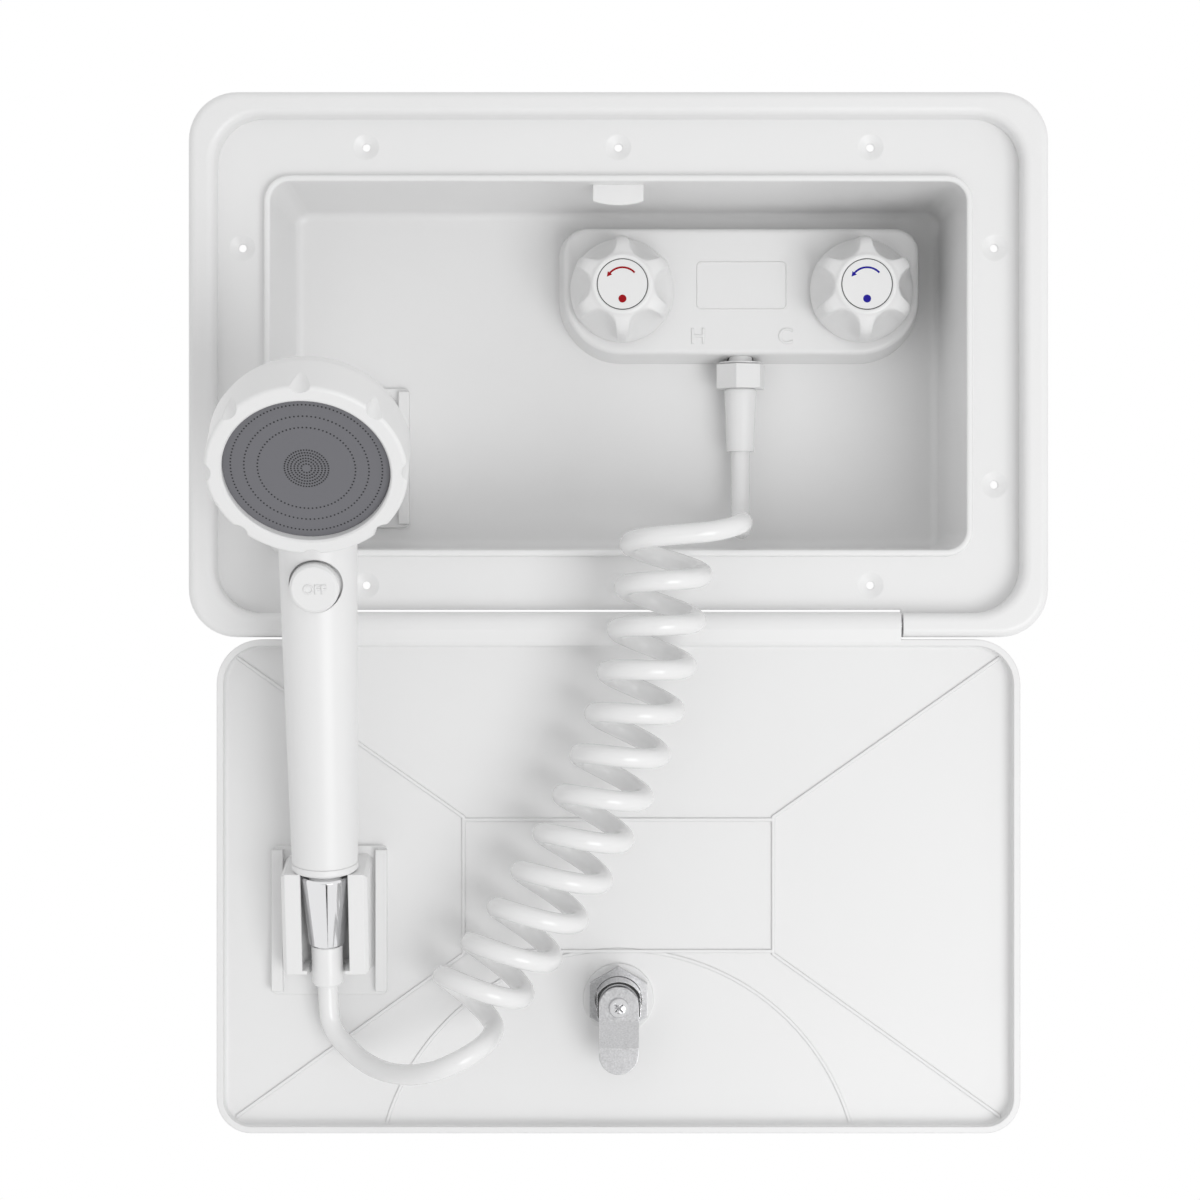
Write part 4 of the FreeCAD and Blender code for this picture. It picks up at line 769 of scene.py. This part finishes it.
def cut_slot(piece, turn):
    """Cuts one blade of the cross recess into the top of the screw."""
    select_only()
    bpy.ops.mesh.primitive_cube_add(size=1, location=(0, 0, SCREW_TALL))
    blade = take("cross_cutter")
    blade.data.transform(Matrix.Diagonal(BLADE))
    blade.data.transform(Matrix.Rotation(math.radians(turn), 4, "Z"))
    cut = piece.modifiers.new("Cross", "BOOLEAN")
    cut.operation = "DIFFERENCE"
    cut.object = blade
    cut.solver = "EXACT"
    select_only(piece)
    bpy.ops.object.modifier_apply(modifier=cut.name)
    bpy.data.objects.remove(blade)


def make_cam_screw(material):
    """Domed cross-recess screw in the middle of the cam."""
    low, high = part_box("cam_screw")
    middle = Vector(((low[0] + high[0]) / 2, low[1], (low[2] + high[2]) / 2))
    lathe_rings([(radius * MM, height * MM) for radius, height in SCREW_RINGS], 64)
    screw = take("cam_screw_head")
    for turn in (45, 135):
        cut_slot(screw, turn)
    settle(screw, facing_out(middle + Vector((0, SCREW_TALL, 0))), 40)
    dress(screw, "lock", material)
    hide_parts("cam_screw")


# Raised marks


LETTER_SIZE = 9.5 * MM
LETTER_UP = 17.2
BUTTON_MARK_SIZE = 5.2 * MM
BUTTON_UP, BUTTON_OUT, BUTTON_ASIDE = 117.6 * MM, 19.42 * MM, 0.3 * MM


def raised_mark(name, letters, size, world, body, material):
    """A plain moulded mark that stands a fraction of a millimetre proud."""
    select_only()
    bpy.ops.object.text_add()
    words = bpy.context.object.data
    words.body = letters
    words.align_x = "CENTER"
    words.align_y = "CENTER"
    words.size = size
    words.extrude = 0.15 * MM
    words.bevel_depth = 0.12 * MM
    words.bevel_resolution = 1
    bpy.ops.object.convert(target="MESH")
    dress(settle(take(name), world), body, material)


def side_letter(name, letter, across, material):
    """The generic letter below one of the knobs, on the valve cover."""
    place = Vector((across, COVER_FRONT - 0.17, LETTER_UP)) * MM
    raised_mark(name, letter, LETTER_SIZE, facing_out(place), "box", material)


def button_mark(material):
    """The switch word on the pause button."""
    top = GRIP_FOOT + GRIP_UP * BUTTON_UP + GRIP_OUT * BUTTON_OUT + Vector((BUTTON_ASIDE, 0, 0))
    world = Matrix.Translation(top) @ Matrix.Rotation(LEAN, 4, "X") @ FRONT
    raised_mark("pause_mark", "OFF", BUTTON_MARK_SIZE, world, "button", material)


PLATE_WIDE, PLATE_TALL, PLATE_CORNER, PLATE_BEAD = 37.9 * MM, 20 * MM, 2 * MM, 0.3 * MM
PLATE_PLACE = Vector((52.8, COVER_FRONT, 39.1)) * MM


def make_plate_bead(material):
    """A low bead round the bare plate on the cover."""
    points = []
    half_wide, half_tall = PLATE_WIDE / 2 - PLATE_CORNER, PLATE_TALL / 2 - PLATE_CORNER
    for turn, (x_side, y_side) in enumerate(((1, 1), (-1, 1), (-1, -1), (1, -1))):
        middle = Vector((x_side * half_wide, y_side * half_tall, 0))
        points += [middle + ray(90 * turn + 15 * step) * PLATE_CORNER for step in range(7)]
    curve = bpy.data.curves.new("plate_bead", "CURVE")
    curve.dimensions = "3D"
    spline = curve.splines.new("POLY")
    spline.points.add(len(points) - 1)
    for point, place in zip(spline.points, points):
        point.co = (*place, 1)
    spline.use_cyclic_u = True
    curve.bevel_depth = PLATE_BEAD
    curve.bevel_resolution = 2
    line = bpy.data.objects.new("plate_bead", curve)
    bpy.context.collection.objects.link(line)
    select_only(line)
    bpy.ops.object.convert(target="MESH")
    bead = settle(take("plate_bead"), facing_out(PLATE_PLACE))
    dress(bead, "box", material)


# The whole object

white = moulded_plastic("white_plastic", (0.86, 0.86, 0.86), 0.36, 0.0007)
knob_white = moulded_plastic("knob_plastic", (0.87, 0.87, 0.87), 0.30, 0.0004)
hose_white = moulded_plastic("hose_vinyl", (0.87, 0.87, 0.87), 0.2, 0.0002)
spray_grey = moulded_plastic("spray_grey", (0.16, 0.16, 0.175), 0.6, 0.0003, grain=0.00005)
# Near-black nozzle buttons: painted shade that stands in for the holes of the spray face.
painted_hole_shade = moulded_plastic("painted_hole_shade", (0.02, 0.02, 0.022), 0.7, 0.0001)
chrome = polished_metal("chrome", (0.78, 0.78, 0.79), 0.05)
zinc = grained_metal("grained_zinc", (0.64, 0.64, 0.65), 0.33)
bright_steel = polished_metal("bright_steel", (0.66, 0.66, 0.67), 0.18)
brass = polished_metal("brass", (0.62, 0.45, 0.2), 0.25)
rubber = black_rubber("rubber")
red_ink = printing_ink("red_ink", (0.34, 0.006, 0.012))
blue_ink = printing_ink("blue_ink", (0.02, 0.014, 0.3))
line_ink = printing_ink("ring_line", (0.07, 0.075, 0.075))

FINISH_BY_SLOT = {
    "white_plastic": white,
    "white_hose": hose_white,
    "grey_plastic": spray_grey,
    "black_rubber": rubber,
    "chrome": chrome,
    "brass": brass,
    "zinc": zinc,
    "steel": bright_steel,
}


def paint_frame_nodes():
    """Every node that shows as it comes gets its finish."""
    slots = {part["node"]: part["material_slot"] for part in frame["record"]["subparts"]}
    for node, piece in frame["nodes"].items():
        piece.data.materials.clear()
        piece.data.materials.append(FINISH_BY_SLOT[slots[node]])


bpy.context.scene.view_settings.view_transform = "Standard"
add_camera()
set_world()
add_floor()
add_softbox(place=(1.2, -2.6, -1.1), target=(0, 0, -0.08), size=1.6, power=32)
add_dark_cards()

make_hose(hose_white)
paint_frame_nodes()
for side, ink in (("hot", red_ink), ("cold", blue_ink)):
    make_knob(side, side + "_tap", KNOBS[side], knob_white)
    make_index_print(side, side + "_tap", KNOBS[side], ink, line_ink)
# The nozzle buttons carry painted shade in place of real holes.
make_jets(painted_hole_shade)
side_letter("hot_letter", "H", 34.3, white)
side_letter("cold_letter", "C", 71.5, white)
button_mark(white)
make_cam_screw(bright_steel)
make_plate_bead(white)
